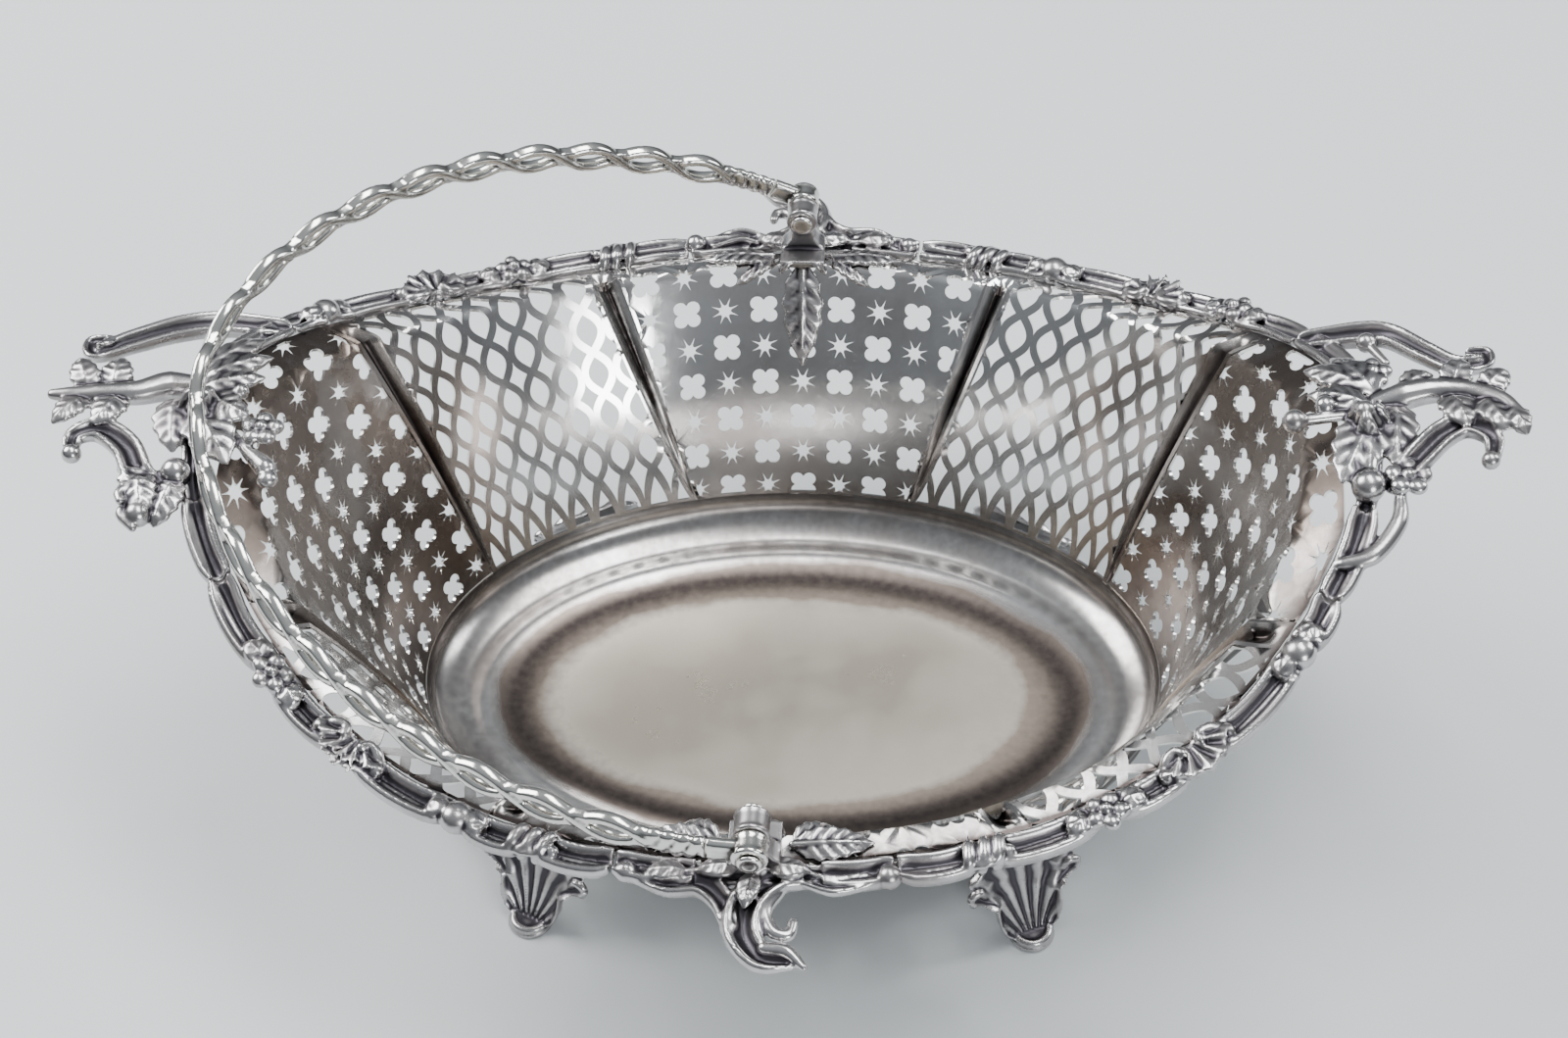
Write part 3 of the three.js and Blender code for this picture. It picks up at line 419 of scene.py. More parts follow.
# Where the cells lie on the wall, in lengths up it and across it or in degrees round it
hole_margin = 0.9 * mm
least_hole = 0.9 * mm
band_bar = 0.7 * mm
brim_bar = 0.9 * mm
centre_start, centre_row, centre_column = 2.8 * mm, 10.2 * mm, 10 * mm
column_widening = 1 / 64
end_start, end_row, end_column = 5.5 * mm, 10 * mm, 7.8
lattice_first_row, lattice_row = 23.8 * mm, 12.2 * mm
lattice_start, lattice_column = 32.5, 4.74


def centre_cell(cells):
    """The middle panel: square cells in upright columns, a little wider apart towards the crest."""
    climb = centre_start + centre_row * cells[:, 1]
    across = cells[:, 0] * (centre_column + climb * column_widening)
    level = level_at(np.full(len(cells), math.pi / 2), climb)
    reach = band_size[0] + (crest_size[0] - band_size[0]) * np.clip(level, 0, 1)
    return math.pi / 2 - across / reach, climb


def end_cell(cells):
    """The end panel: the same cells in columns that converge on the band."""
    return np.radians(end_column * cells[:, 0]), end_start + end_row * cells[:, 1]


def lattice_cell(cells):
    """The lattice panel: tall cells, the lowest ones cut in half by the band."""
    row = cells[:, 1]
    above = lattice_first_row * 0.5 + lattice_row * (row - 0.5)
    climb = np.where(row < 0.5, lattice_first_row * row, above)
    return np.radians(lattice_start + lattice_column * cells[:, 0]), climb


def pierced_panel(tree, place, edges, **grid):
    """One panel's sheet: its tiles laid on the bowl and trimmed at the flutes, the band and the brim."""
    flat = run_tree("panel", tree, **grid)
    cells, hole_edge = read(flat, "position", 3), read(flat, "hole_edge", 1)[:, 0] > 0.5
    middles = read(flat, "cell", 3)
    angles, climb = place(cells)
    _, owner = np.unique(np.round(middles, 3), axis=0, return_inverse=True)
    owner = owner.ravel()
    highest = climbs_at(angles)[:, -1]

    def limits(inset_out, inset_low, inset_top):
        clipped = np.clip(climb, inset_low, highest - inset_top)
        level = level_at(angles, clipped)
        reach = reach_at(angles, level)
        low, high = edges(level)
        return clipped, low + inset_out / reach, high - inset_out / reach, reach

    climb_hole, low, high, reach = limits(hole_margin, band_bar, brim_bar)
    climb_cell, low_cell, high_cell, _ = limits(0, 0, 0)
    angle_hole, angle_cell = np.clip(angles, low, high), np.clip(angles, low_cell, high_cell)
    # A hole that the trimming leaves too small is closed at the middle of its cell
    for tile in range(owner.max() + 1):
        mine = (owner == tile) & hole_edge
        width = np.ptp(angle_hole[mine]) * reach[mine].mean()
        if width < least_hole or np.ptp(climb_hole[mine]) < least_hole:
            angle_hole[mine], climb_hole[mine] = angle_cell[mine].mean(), climb_cell[mine].mean()
    angles = np.where(hole_edge, angle_hole, angle_cell)
    climb = np.where(hole_edge, climb_hole, climb_cell)
    faces = [tuple(polygon.vertices) for polygon in flat.polygons]
    return angles, level_at(angles, climb), faces


def grid_faces(rows, columns, closed=False):
    """Four-sided faces between rows of points that end or, if closed, go all the way round."""
    faces = []
    for row in range(rows - 1):
        for k in range(columns if closed else columns - 1):
            after = (k + 1) % columns
            faces.append((row * columns + k, row * columns + after,
                          (row + 1) * columns + after, (row + 1) * columns + k))
    return faces


def ramp(values, start, width):
    """From 0 at the start to 1 one width further on, which may lie either way."""
    return np.clip((values - start) / width, 0, 1)


# A flute's section, in halves of its width, and the levels at which it is full and starts to fade
trough_half, trough_power = 0.8, 1.3
lip_at, lip_spread = 0.87, 0.1
flute_full, flute_fades, flute_fade = 0.5, 1.75, 0.3


def flute_strip(centre):
    """One flute: a trough with a raised lip on each side, from a point at the band over the brim."""
    levels = np.concatenate([np.linspace(0, 1, 49), np.linspace(1, 2, 9)[1:]])
    across = np.linspace(-1, 1, 13)
    level, side = np.meshgrid(levels, across, indexing="ij")
    level, side = level.ravel(), side.ravel()
    angles = centre(level) + side * flute_half(centre(level), level)
    full = ramp(level, 0, flute_full) * ramp(level, flute_fades, -flute_fade)
    trough = np.cos(ramp(np.abs(side), 0, trough_half) * math.pi / 2) ** trough_power
    lip = np.exp(-(((np.abs(side) - lip_at) / lip_spread) ** 2))
    off = full * (flute_depth * trough - flute_lip * lip)
    return angles, level, off, grid_faces(len(levels), len(across))


def lower_bowl():
    """The floor, its rounded shoulder and the plain band, with no holes."""
    turns = np.radians(np.arange(0, 360, 2.5))
    floor_levels, edge_levels = np.linspace(-2, -1.08, 12), np.linspace(-1.05, -0.95, 4)
    levels = np.concatenate([floor_levels, edge_levels, np.linspace(-0.93, 0, 28)])
    level, angles = np.meshgrid(levels, turns, indexing="ij")
    return angles.ravel(), level.ravel(), grid_faces(len(levels), len(turns), closed=True)


# How worn the sheet is, and where shade is painted on it: shares of brown film, and of darkening.
# The darkening is painted shade, and in the ring at the floor's edge it is tarnish as well.
brown_floor, brown_tarnish_and_shade_in_ring, brown_shade_on_shoulder, brown_wall, brown_ends = 0.1, 1.5, 0.2, 0.08, 0.86
shade_under_brim, shade_on_ends, shade_in_flutes = 0.5, 0.22, 0.85
shade_on_shoulder, tarnish_and_shade_in_ring, shade_on_front_wall = 0.42, 0.7, 0.5
ring_level, ring_above, ring_below = -0.95, 0.1, 0.15
# The whole sheet, as its patches are laid
sheet_points, sheet_faces, sheet_wear_and_shade = [], [], []


def wear_and_shade(angles, levels, off):
    """The sheet's brown, its painted shade with some tarnish, and its satin, for arrays of angles and
    levels.
    """
    # Each ramp has where it starts and how wide it is, in levels, or for the ends in degrees
    turn = np.degrees(angles) % 180
    # Near the ends the wall is browner with tarnish film, and its steep part is darkened with painted shade
    near_end = ramp(np.minimum(turn, 180 - turn), 46, -24)
    # The near wall is darkened with painted shade, standing in for its darker reflection
    at_front = ramp(-np.sin(angles), 0.3125, 0.625)
    on_floor = ramp(levels, -1, -0.05)
    on_wall = ramp(levels, -0.25, 0.4)
    # Under the border the brim is darkened with painted shade
    under_brim = ramp(levels, 1.7, 0.3)
    # On the shoulder both the darkening and the brown are painted shade, standing in for the dark
    # reflections between its highlights
    shoulder = ramp(levels, -0.88, 0.2) * ramp(levels, 0.25, -0.25)
    # The ring at the floor's edge is tarnish, darkened further with painted shade that draws the ridge
    ring = np.exp(-(((levels - ring_level) / np.where(levels > ring_level, ring_above, ring_below)) ** 2))
    brown = brown_floor * on_floor + brown_tarnish_and_shade_in_ring * ring + brown_shade_on_shoulder * shoulder
    brown = brown + on_wall * (brown_wall + brown_ends * near_end)
    # The flute troughs are darkened with painted shade, the deeper the darker
    painted_shade_and_tarnish = shade_under_brim * under_brim + shade_on_ends * on_wall * near_end + shade_in_flutes * ramp(off, 0, flute_depth)
    painted_shade_and_tarnish = painted_shade_and_tarnish + shade_on_shoulder * shoulder + tarnish_and_shade_in_ring * ring + shade_on_front_wall * on_wall * at_front
    return np.stack([brown, painted_shade_and_tarnish, on_floor], axis=-1)


def lay(angles, levels, faces, off=0.0, turn=0.0, mirrored=False):
    """Adds a patch to the sheet, turned round the bowl or mirrored across its middle."""
    if mirrored:
        angles, faces = math.pi - angles, [face[::-1] for face in faces]
    angles = angles + turn
    sheet_wear_and_shade.extend(wear_and_shade(angles, levels, np.broadcast_to(off, np.shape(angles))))
    points = bowl(angles, levels) + bowl_normals(angles, levels) * np.reshape(off, (-1, 1))
    first = len(sheet_points)
    sheet_points.extend(points)
    sheet_faces.extend(tuple(first + k for k in face) for face in faces)


def new_group(name, inputs, outputs):
    """A shader node group with named inputs, each with a value, and named outputs."""
    group = bpy.data.node_groups.new(name, "ShaderNodeTree")
    for socket, value in inputs.items():
        kind = "NodeSocketColor" if isinstance(value, tuple) else "NodeSocketFloat"
        group.interface.new_socket(socket, in_out="INPUT", socket_type=kind).default_value = value
    for socket, kind in outputs.items():
        group.interface.new_socket(socket, in_out="OUTPUT", socket_type=kind)
    return group, add(group, "NodeGroupInput").outputs


# How the silver's wear and painted shade change: noises per metre, and the ranges and shares in which they
# tell
film_detail, film_grain, film_from, film_to = 5, 0.6, 0.42, 0.68
uneven_gain, uneven_base = 1.1, 0.45
mottle_scale, mottle_darkening, mottle_height = 420, 0.3, 0.8
hollow_and_shade_from, hollow_and_shade_to = 0.12, 0.75
bloom_loss = 0.8
film_matt, hollow_and_shade_matt, satin_matt = 0.16, 0.12, 0.16
scratch_sets = ((0.4, (30, 900, 60)), (-0.9, (700, 40, 90)), (2.1, (60, 800, 500)))


def silver_wear_and_shade_group():
    """Old polished silver: bright where rubbed, tarnished brown, near black in recesses and in painted
    shade.
    """
    group, given = new_group("worn_silver", {
        "Hollow": 0.0, "Brown Film": 0.0, "Satin": 0.0, "Tarnish": 0.5, "Patch Size": 40.0, "Gloss": 0.17,
        "Bright": (0.9, 0.88, 0.85, 1), "Brown": (0.45, 0.38, 0.33, 1), "Dark": (0.06, 0.05, 0.05, 1),
        "Bloom": (0.62, 0.56, 0.49, 1)},
        {"Color": "NodeSocketColor", "Roughness": "NodeSocketFloat", "Height": "NodeSocketFloat"})

    def noise(place, scale, detail, **more):
        return add(group, "ShaderNodeTexNoise", {
            "Vector": place, "Scale": scale, "Detail": detail, **more}).outputs[0]

    place = add(group, "ShaderNodeTexCoord").outputs["Object"]
    patches = noise(place, given["Patch Size"], film_detail, Roughness=film_grain)
    mottle = noise(place, mottle_scale, 4)
    film_and_shade = maths(group, "MULTIPLY", stretch(group, patches, film_from, film_to), given["Tarnish"])
    uneven = maths(group, "MULTIPLY_ADD", patches, uneven_gain, uneven_base)
    film_and_shade = maths(group, "MULTIPLY_ADD", given["Brown Film"], uneven, film_and_shade, use_clamp=True)
    # The hollow input darkens towards the dark colour: tarnish in the castings' recesses, and painted shade
    # on the sheet
    rough_hollow = maths(group, "SUBTRACT", mottle, 0.5)
    hollow = maths(group, "MULTIPLY_ADD", rough_hollow, mottle_darkening, given["Hollow"])
    hollow = stretch(group, hollow, hollow_and_shade_from, hollow_and_shade_to)
    bloom = maths(group, "MULTIPLY_ADD", film_and_shade, -bloom_loss, 1.0)
    bloom = maths(group, "MULTIPLY", given["Satin"], bloom)
    tone = mix(group, film_and_shade, given["Bright"], given["Brown"])
    tone = mix(group, bloom, tone, given["Bloom"])
    tone = mix(group, hollow, tone, given["Dark"])
    gloss = maths(group, "MULTIPLY_ADD", film_and_shade, film_matt, given["Gloss"])
    gloss = maths(group, "MULTIPLY_ADD", hollow, hollow_and_shade_matt, gloss)
    gloss = maths(group, "MULTIPLY_ADD", given["Satin"], satin_matt, gloss)
    lines = []
    for turn, stretched in scratch_sets:
        mapped = add(group, "ShaderNodeMapping", {
            "Vector": place, "Rotation": (turn / 3, turn / 2, turn), "Scale": stretched}).outputs[0]
        lines.append(noise(mapped, 1, 3))
    height = maths(group, "ADD", maths(group, "ADD", lines[0], lines[1]), lines[2])
    height = maths(group, "MULTIPLY_ADD", mottle, mottle_height, height)
    add(group, "NodeGroupOutput", {"Color": tone, "Roughness": gloss, "Height": height})
    return group


worn_silver = silver_wear_and_shade_group()


def silver(name, marks, bump, **values):
    """A silver finish: the silver wear-and-shade group with its own values, and point attributes for some
    inputs.
    """
    material, tree, shader = new_material(name, Metallic=1.0)
    wear_and_shade_node = tree.nodes.new("ShaderNodeGroup")
    wear_and_shade_node.node_tree = worn_silver
    for key, value in values.items():
        wear_and_shade_node.inputs[key.replace("_", " ")].default_value = value
    for socket, attribute in marks.items():
        marked = add(tree, "ShaderNodeAttribute", attribute_name=attribute)
        tree.links.new(marked.outputs["Fac"], wear_and_shade_node.inputs[socket])
    tree.links.new(wear_and_shade_node.outputs["Color"], shader.inputs["Base Color"])
    tree.links.new(wear_and_shade_node.outputs["Roughness"], shader.inputs["Roughness"])
    relief = add(tree, "ShaderNodeBump", {
        "Height": wear_and_shade_node.outputs["Height"], "Strength": bump, "Distance": 0.02 * mm})
    tree.links.new(relief.outputs["Normal"], shader.inputs["Normal"])
    return material


# The sheet's hollow and brown attributes carry its painted shade as well as its tarnish
sheet_finish = silver(
    "sheet_silver", {"Hollow": "hollow", "Brown Film": "brown", "Satin": "satin"}, bump=0.25,
    Tarnish=0.45, Patch_Size=24.0, Gloss=0.1, Bright=(0.90, 0.89, 0.88, 1), Brown=(0.22, 0.18, 0.155, 1),
    Dark=(0.05, 0.042, 0.04, 1), Bloom=(0.62, 0.55, 0.44, 1))
cut_finish = silver("cut_silver", {}, bump=0.15, Tarnish=0.5, Bright=(0.85, 0.84, 0.82, 1))


def end_edges(levels):
    """The end panel's edges: a flute and its mirror image."""
    edge = flute_edge(end_flute, -1, levels)
    return -edge, edge


def lattice_edges(levels):
    return flute_edge(end_flute, 1, levels), flute_edge(side_flute, -1, levels)


def centre_edges(levels):
    edge = flute_edge(side_flute, 1, levels)
    return edge, math.pi - edge


tree = piercing_tree()
end_panel = pierced_panel(
    tree, end_cell, end_edges, First_Tile=tiles["quatrefoil"], Second_Tile=tiles["star"],
    Columns=5, Rows=10, Pitch=(2, 1, 0), Start=(-4.5, 0, 0), Row_Shift=1.0, Second_Offset=(1, 0, 0),
    Material=sheet_finish)
lattice_panel = pierced_panel(
    tree, lattice_cell, lattice_edges, First_Tile=tiles["oval"], Second_Tile=tiles["gap"],
    Columns=11, Rows=8, Pitch=(1, 1, 0), Start=(-2, 0, 0), Row_Shift=0.0, Second_Offset=(0.5, 0.5, 0),
    Material=sheet_finish)
centre_panel = pierced_panel(
    tree, centre_cell, centre_edges, First_Tile=tiles["quatrefoil"], Second_Tile=tiles["star"],
    Columns=7, Rows=9, Pitch=(2, 1, 0), Start=(-6, 0, 0), Row_Shift=-1.0, Second_Offset=(1, 0, 0),
    Material=sheet_finish)
for turn in (0, math.pi):
    lay(*end_panel, turn=turn)
    # The middle panel's columns run the other way round, so its faces are turned over
    angles, levels, faces = centre_panel
    lay(angles, levels, [face[::-1] for face in faces], turn=turn)
    for mirrored in (False, True):
        lay(*lattice_panel, turn=turn, mirrored=mirrored)
        for centre in (end_flute, side_flute):
            angles, levels, off, faces = flute_strip(centre)
            lay(angles, levels, faces, off, turn=turn, mirrored=mirrored)
lay(*lower_bowl())

bowl_piece = new_piece("bowl", sheet_points, sheet_faces)
# The hollow attribute holds the sheet's painted shade, and the brown one holds painted shade on the
# shoulder and the ring as well
for name, values in zip(("brown", "hollow", "satin"), np.array(sheet_wear_and_shade).T):
    mark(bowl_piece.data, name, values)
build = bmesh.new()
build.from_mesh(bowl_piece.data)
bmesh.ops.remove_doubles(build, verts=build.verts, dist=0.04 * mm)
bmesh.ops.dissolve_degenerate(build, dist=0.02 * mm, edges=build.edges)
build.to_mesh(bowl_piece.data)
build.free()


def settle(piece, kind, **settings):
    """Applies one modifier with these settings, and leaves a plain mesh."""
    modifier = piece.modifiers.new(kind.lower(), kind)
    for name, value in settings.items():
        setattr(modifier, name, value)
    bpy.context.view_layer.update()
    mesh = bpy.data.meshes.new_from_object(piece.evaluated_get(bpy.context.evaluated_depsgraph_get()))
    piece.modifiers.clear()
    piece.data = mesh


bowl_piece.data.materials.append(sheet_finish)
bowl_piece.data.materials.append(cut_finish)
settle(bowl_piece, "SOLIDIFY", thickness=cut_thickness, offset=0, use_even_offset=False,
       material_offset_rim=1)
bowl_piece.data.shade_smooth()
bowl_piece.data.set_sharp_from_angle(angle=math.radians(38))
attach(bowl_piece, "basket")
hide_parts("body")
for tile in tiles.values():
    bpy.data.objects.remove(tile)


# Borders: four cast lengths soldered along the brim, C-scrolls with a collar, a bead, a shell and a blossom
# between them, the two across the middle from each other cast from one pattern. A casting is put together
# from closed strokes in millimetres, melted into one skin, and marked where it is hollow.
rim_axes, rim_level, rim_boat = np.array(rim_size) / mm, rim_height / mm, rim_end_rise / mm
stroke_step, rail_step, rail_curl = 0.6, 0.35, 0.8
lathe_sides, petals = 32, 5
least_vein, vein_height = 2.4, 0.26
midrib_height, midrib_width = 0.42, 0.11
leaf_edge, leaf_serration = 0.12, 0.09
shell_root, shell_cup, shell_ridge, shell_thickness, shell_scallop = 1.6, 1.8, 1.3, 1.5, 0.13
skin_voxel = 0.4
relax_steps, relax_share = 2, 0.6
hollow_steps, hollow_depth = 16, 0.16


def unit(vectors):
    return vectors / np.maximum(np.linalg.norm(vectors, axis=-1, keepdims=True), 1e-12)


def rim_place(degrees, out=0.0, lift=0.0):
    """Places out of and above the middle of the rail, for degrees round the rim."""
    degrees, out, lift = np.broadcast_arrays(np.asarray(degrees, float), out, lift)
    cos, sin = np.cos(np.radians(degrees)), np.sin(np.radians(degrees))
    away = unit(np.stack([cos / rim_axes[0], sin / rim_axes[1], 0 * cos], axis=-1))
    height = rim_level + rim_boat * np.abs(cos) ** boat_sharpness + lift
    middle = np.stack([rim_axes[0] * cos, rim_axes[1] * sin, height], axis=-1)
    return middle + away * out[..., None]


def rim_frame(degrees):
    """Turns places given along, out of and above the rail there into places in the basket's frame."""
    origin = rim_place(degrees)
    along = unit(rim_place(degrees + 0.5) - rim_place(degrees - 0.5))
    away = unit(rim_place(degrees, 1.0) - origin)
    axes = np.stack([along, away, np.cross(away, along)])

    def place(places):
        return origin + np.asarray(places, float) @ axes

    return place


def as_given(places):
    return np.asarray(places, float)


def through(points):
    """A smooth curve through a few points: evenly spaced places, and how far along each is."""
    points = np.asarray(points, float)
    steps = len(points) - 1
    led = np.vstack([2 * points[0] - points[1], points, 2 * points[-1] - points[-2]])
    t = np.linspace(0, steps, 30 * steps + 1)
    k = np.minimum(t.astype(int), steps - 1)
    part = (t - k)[:, None]
    a, b, c, d = led[k], led[k + 1], led[k + 2], led[k + 3]
    curve = 0.5 * (2 * b + (c - a) * part + (2 * a - 5 * b + 4 * c - d) * part**2
                   + (3 * b - a - 3 * c + d) * part**3)
    length = np.concatenate([[0], np.cumsum(np.linalg.norm(np.diff(curve, axis=0), axis=1))])
    even = np.linspace(0, length[-1], max(4, round(length[-1] / stroke_step)) + 1)
    places = np.stack([np.interp(even, length, curve[:, axis]) for axis in range(3)], axis=1)
    return places, np.interp(even, length, t / steps)


# Bars' sections, in radii: a round one, and a C-scroll's, with a raised lip on each side of a channel
round_bar = [(math.cos(turn), math.sin(turn)) for turn in np.linspace(0, 2 * math.pi, 12, endpoint=False)]
channelled = [
    (1.02, 0.05), (0.97, 0.38), (0.76, 0.56), (0.52, 0.42), (0.32, 0.02), (0.0, -0.18), (-0.3, 0.0),
    (-0.5, 0.38), (-0.72, 0.52), (-0.95, 0.36), (-1.0, 0.02), (-0.86, -0.46), (-0.45, -0.78),
    (0.0, -0.88), (0.45, -0.78), (0.86, -0.46)]


class Casting:
    """The closed strokes of one casting, in millimetres."""

    def __init__(self):
        self.points, self.faces = [], []

    def loft(self, rings):
        """Rings of equal count, joined and closed at both ends."""
        rings = np.asarray(rings, float)
        count, sides = rings.shape[:2]
        first = len(self.points)
        self.points.extend(rings.reshape(-1, 3))
        for i in range(count - 1):
            for k in range(sides):
                a, b = first + i * sides + k, first + i * sides + (k + 1) % sides
                self.faces.append((a, b, b + sides, a + sides))
        self.faces.append(tuple(first + k for k in reversed(range(sides))))
        self.faces.append(tuple(first + (count - 1) * sides + k for k in range(sides)))

    def strand(self, points, radii, section=round_bar, up=(0, 0, 1), place=as_given):
        """A bar through a few points, its radius changing along it, with rounded ends."""
        middle, share = through(place(points))
        radius = np.interp(share, np.linspace(0, 1, len(radii)), radii)
        ahead = unit(np.gradient(middle, axis=0))
        tips = np.array([0.97, 0.75, 0.4])
        before = middle[0] - ahead[0] * radius[0] * tips[:, None]
        beyond = middle[-1] + ahead[-1] * radius[-1] * tips[::-1, None]
        shrink = np.sqrt(1 - tips**2)
        middle = np.vstack([before, middle, beyond])
        radius = np.concatenate([radius[0] * shrink, radius, radius[-1] * shrink[::-1]])
        ahead = np.vstack([ahead[:1]] * 3 + [ahead] + [ahead[-1:]] * 3)
        side = unit(np.cross(ahead, np.asarray(up, float)))
        top = np.cross(side, ahead)
        cut = np.asarray(section, float)
        ring = side[:, None] * cut[None, :, :1] + top[:, None] * cut[None, :, 1:]
        self.loft(middle[:, None] + radius[:, None, None] * ring)

    def ball(self, middle, radius, squash=1.0, place=as_given):
        """A ball, flattened by its squash."""
        turns = np.linspace(0, 2 * math.pi, 16, endpoint=False)
        rings = []
        for tilt in np.linspace(-1.5, 1.5, 11):
            ring = np.stack([np.cos(turns) * math.cos(tilt), np.sin(turns) * math.cos(tilt),
                             0 * turns + math.sin(tilt) * squash], axis=1)
            rings.append(place(np.asarray(middle, float) + radius * ring))
        self.loft(rings)

    def leaf(self, root, tip, half, thick, veins, arch, up=(0, 0, 1), lobes=0, place=as_given):
        """A veined leaf from its root to its point, arched upward between them."""
        root, tip = place([root, tip])
        veins = min(veins, np.linalg.norm(tip - root) / least_vein)
        side = unit(np.cross(np.asarray(up, float), tip - root))
        top = unit(np.cross(tip - root, side))
        across = np.linspace(-1, 1, 13)
        off = np.abs(across)
        rings = []
        for u in np.linspace(0, 1, 25):
            wide = leaf_edge + half * max(0.02, math.sin(math.pi * u**0.8)) ** 0.75
            wide *= 1 + (leaf_serration * math.cos(2 * math.pi * lobes * u) if lobes else 0)
            middle = root + (tip - root) * u + top * arch * math.sin(math.pi * u)
            full = min(1, 4 * u, 5 * (1 - u) + 0.15)
            ripple = np.cos(2 * math.pi * (veins * u - 0.9 * off)) * np.minimum(1, 3 * off) * (1 - off**4)
            midrib = midrib_height * np.exp(-((off / midrib_width) ** 2))
            rise = thick * (0.55 - 0.3 * off**2) + midrib + vein_height * ripple
            crown = middle + side * (across * wide)[:, None] + top * (rise * full)[:, None]
            under = middle + side * (across * wide)[::-1, None] - top * thick * 0.5 * full
            rings.append(np.vstack([crown, under]))
        self.loft(rings)

    def fan(self, radius, ribs, spread, place):
        """A shell: ribs fanned out from its hinge, scalloped along its edge."""
        turns = np.linspace(-spread / 2, spread / 2, 8 * ribs + 1)
        crest = 0.5 - 0.5 * np.cos(2 * math.pi * ribs * (turns / spread + 0.5))
        rings = []
        for s in np.linspace(0.1, 1, 14):
            reach = radius * s * (1 - shell_scallop * s**3 * (1 - crest))
            flat = np.stack([reach * np.sin(turns), reach * np.cos(turns)], axis=1)
            base = shell_root + shell_cup * s**2
            rise = base + shell_ridge * crest * math.sin(math.pi * min(1, 0.25 + 0.6 * s))
            crown = np.column_stack([flat, rise])
            under = np.column_stack([flat[::-1], np.full(len(turns), base - shell_thickness)])
            rings.append(place(np.vstack([crown, under])))
        self.loft(rings)

    def rail(self, start, end, size, bow=0.0, ends=0.8, lift=0.0):
        """A length of channelled rail between two angles, bowed outward, that curls up at both ends."""
        steps = max(6, round(abs(end - start) / rail_step))
        rings = []
        cut = np.asarray(channelled) * (1 if end > start else -1, 1)
        for t in np.linspace(0, 1, steps):
            swell = math.sin(math.pi * t)
            scale = size * (ends + (1 - ends) * min(1, 2.2 * swell))
            curl = rail_curl * (1 - swell) ** 3
            turns = np.full(len(cut), start + (end - start) * t)
            rings.append(rim_place(turns, cut[:, 0] * scale + bow * swell, cut[:, 1] * scale + lift + curl))
        self.loft(rings)

    def turned(self, profile, place):
        """A piece turned on a lathe, from radii and places along its axis."""
        turns = np.linspace(0, 2 * math.pi, lathe_sides, endpoint=False)
        rings = []
        for radius, at in profile:
            ring = [radius * np.cos(turns), np.full(lathe_sides, at), radius * np.sin(turns)]
            rings.append(place(np.column_stack(ring)))
        self.loft(rings)


def neighbour_mean(values, edges, valence):
    """The mean of each vertex's neighbours."""
    total = np.empty_like(values)
    for axis in range(3):
        total[:, axis] = (np.bincount(edges[:, 0], values[edges[:, 1], axis], len(values))
                          + np.bincount(edges[:, 1], values[edges[:, 0], axis], len(values)))
    return total / valence[:, None]


def melt(name, casting, voxel=skin_voxel, floor_at=None):
    """One closed skin round a casting's strokes, relaxed a little, with its hollows in an attribute."""
    piece = new_piece(name, np.array(casting.points) * mm, casting.faces)
    settle(piece, "REMESH", mode="VOXEL", voxel_size=voxel * mm)
    mesh = piece.data
    count = len(mesh.vertices)
    places, edges = np.empty(count * 3, np.float32), np.empty(len(mesh.edges) * 2, np.int32)
    mesh.vertices.foreach_get("co", places)
    mesh.edges.foreach_get("vertices", edges)
    places, edges = places.reshape(-1, 3).astype(float), edges.reshape(-1, 2)
    valence = np.maximum(np.bincount(edges.ravel(), minlength=count), 1)
    for _ in range(relax_steps):
        places = (1 - relax_share) * places + relax_share * neighbour_mean(places, edges, valence)
    if floor_at is not None:
        places[:, 2] = np.maximum(places[:, 2], floor_at * mm)
    mesh.vertices.foreach_set("co", places.ravel())
    mesh.update()
    normals = np.empty(count * 3, np.float32)
    mesh.vertices.foreach_get("normal", normals)
    around = places
    for _ in range(hollow_steps):
        around = neighbour_mean(around, edges, valence)
    depth = ((around - places) * normals.reshape(-1, 3)).sum(axis=1)
    hollow = np.clip(0.5 + depth / (2 * hollow_depth * mm), 0, 1) ** 1.5
    mark(mesh, "hollow", hollow)
    mesh.shade_smooth()
    return piece


def fit(piece, node, finish, body="basket"):
    """A piece stands for a node, moves with its body and takes its finish."""
    piece.data.materials.clear()
    piece.data.materials.append(finish)
    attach(piece, body)
    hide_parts(node)


def fit_pair(piece, node, across, finish):
    """A piece, and its copy turned half round the basket's middle for the node across from it."""
    fit(piece, node, finish)
    twin = bpy.data.objects.new(piece.name.replace(node, across), piece.data.copy())
    bpy.context.scene.collection.objects.link(twin)
    twin.data.transform(Matrix.Rotation(math.pi, 4, "Z"))
    twin.data.update()
    fit(twin, across, finish)


cast_finish = silver(
    "cast_silver", {"Hollow": "hollow"}, bump=0.15, Tarnish=0.75, Patch_Size=60.0, Gloss=0.23,
    Bright=(0.53, 0.515, 0.515, 1), Brown=(0.27, 0.245, 0.245, 1), Dark=(0.075, 0.07, 0.08, 1))


def bead_ornament(casting, degrees):
    """A large bead between two leaves."""
    place = rim_frame(degrees)
    casting.ball((0, 0.9, 1.2), 4.1, 0.9, place)
    for side in (-1, 1):
        casting.leaf((side * 8.2, 0.2, 1.0), (side * 1.5, 1.0, 3.0), 2.6,
                     thick=1.4, veins=2, arch=0.8, place=place)
        casting.ball((side * 5.0, 3.0, 1.2), 1.5, 1.0, place)


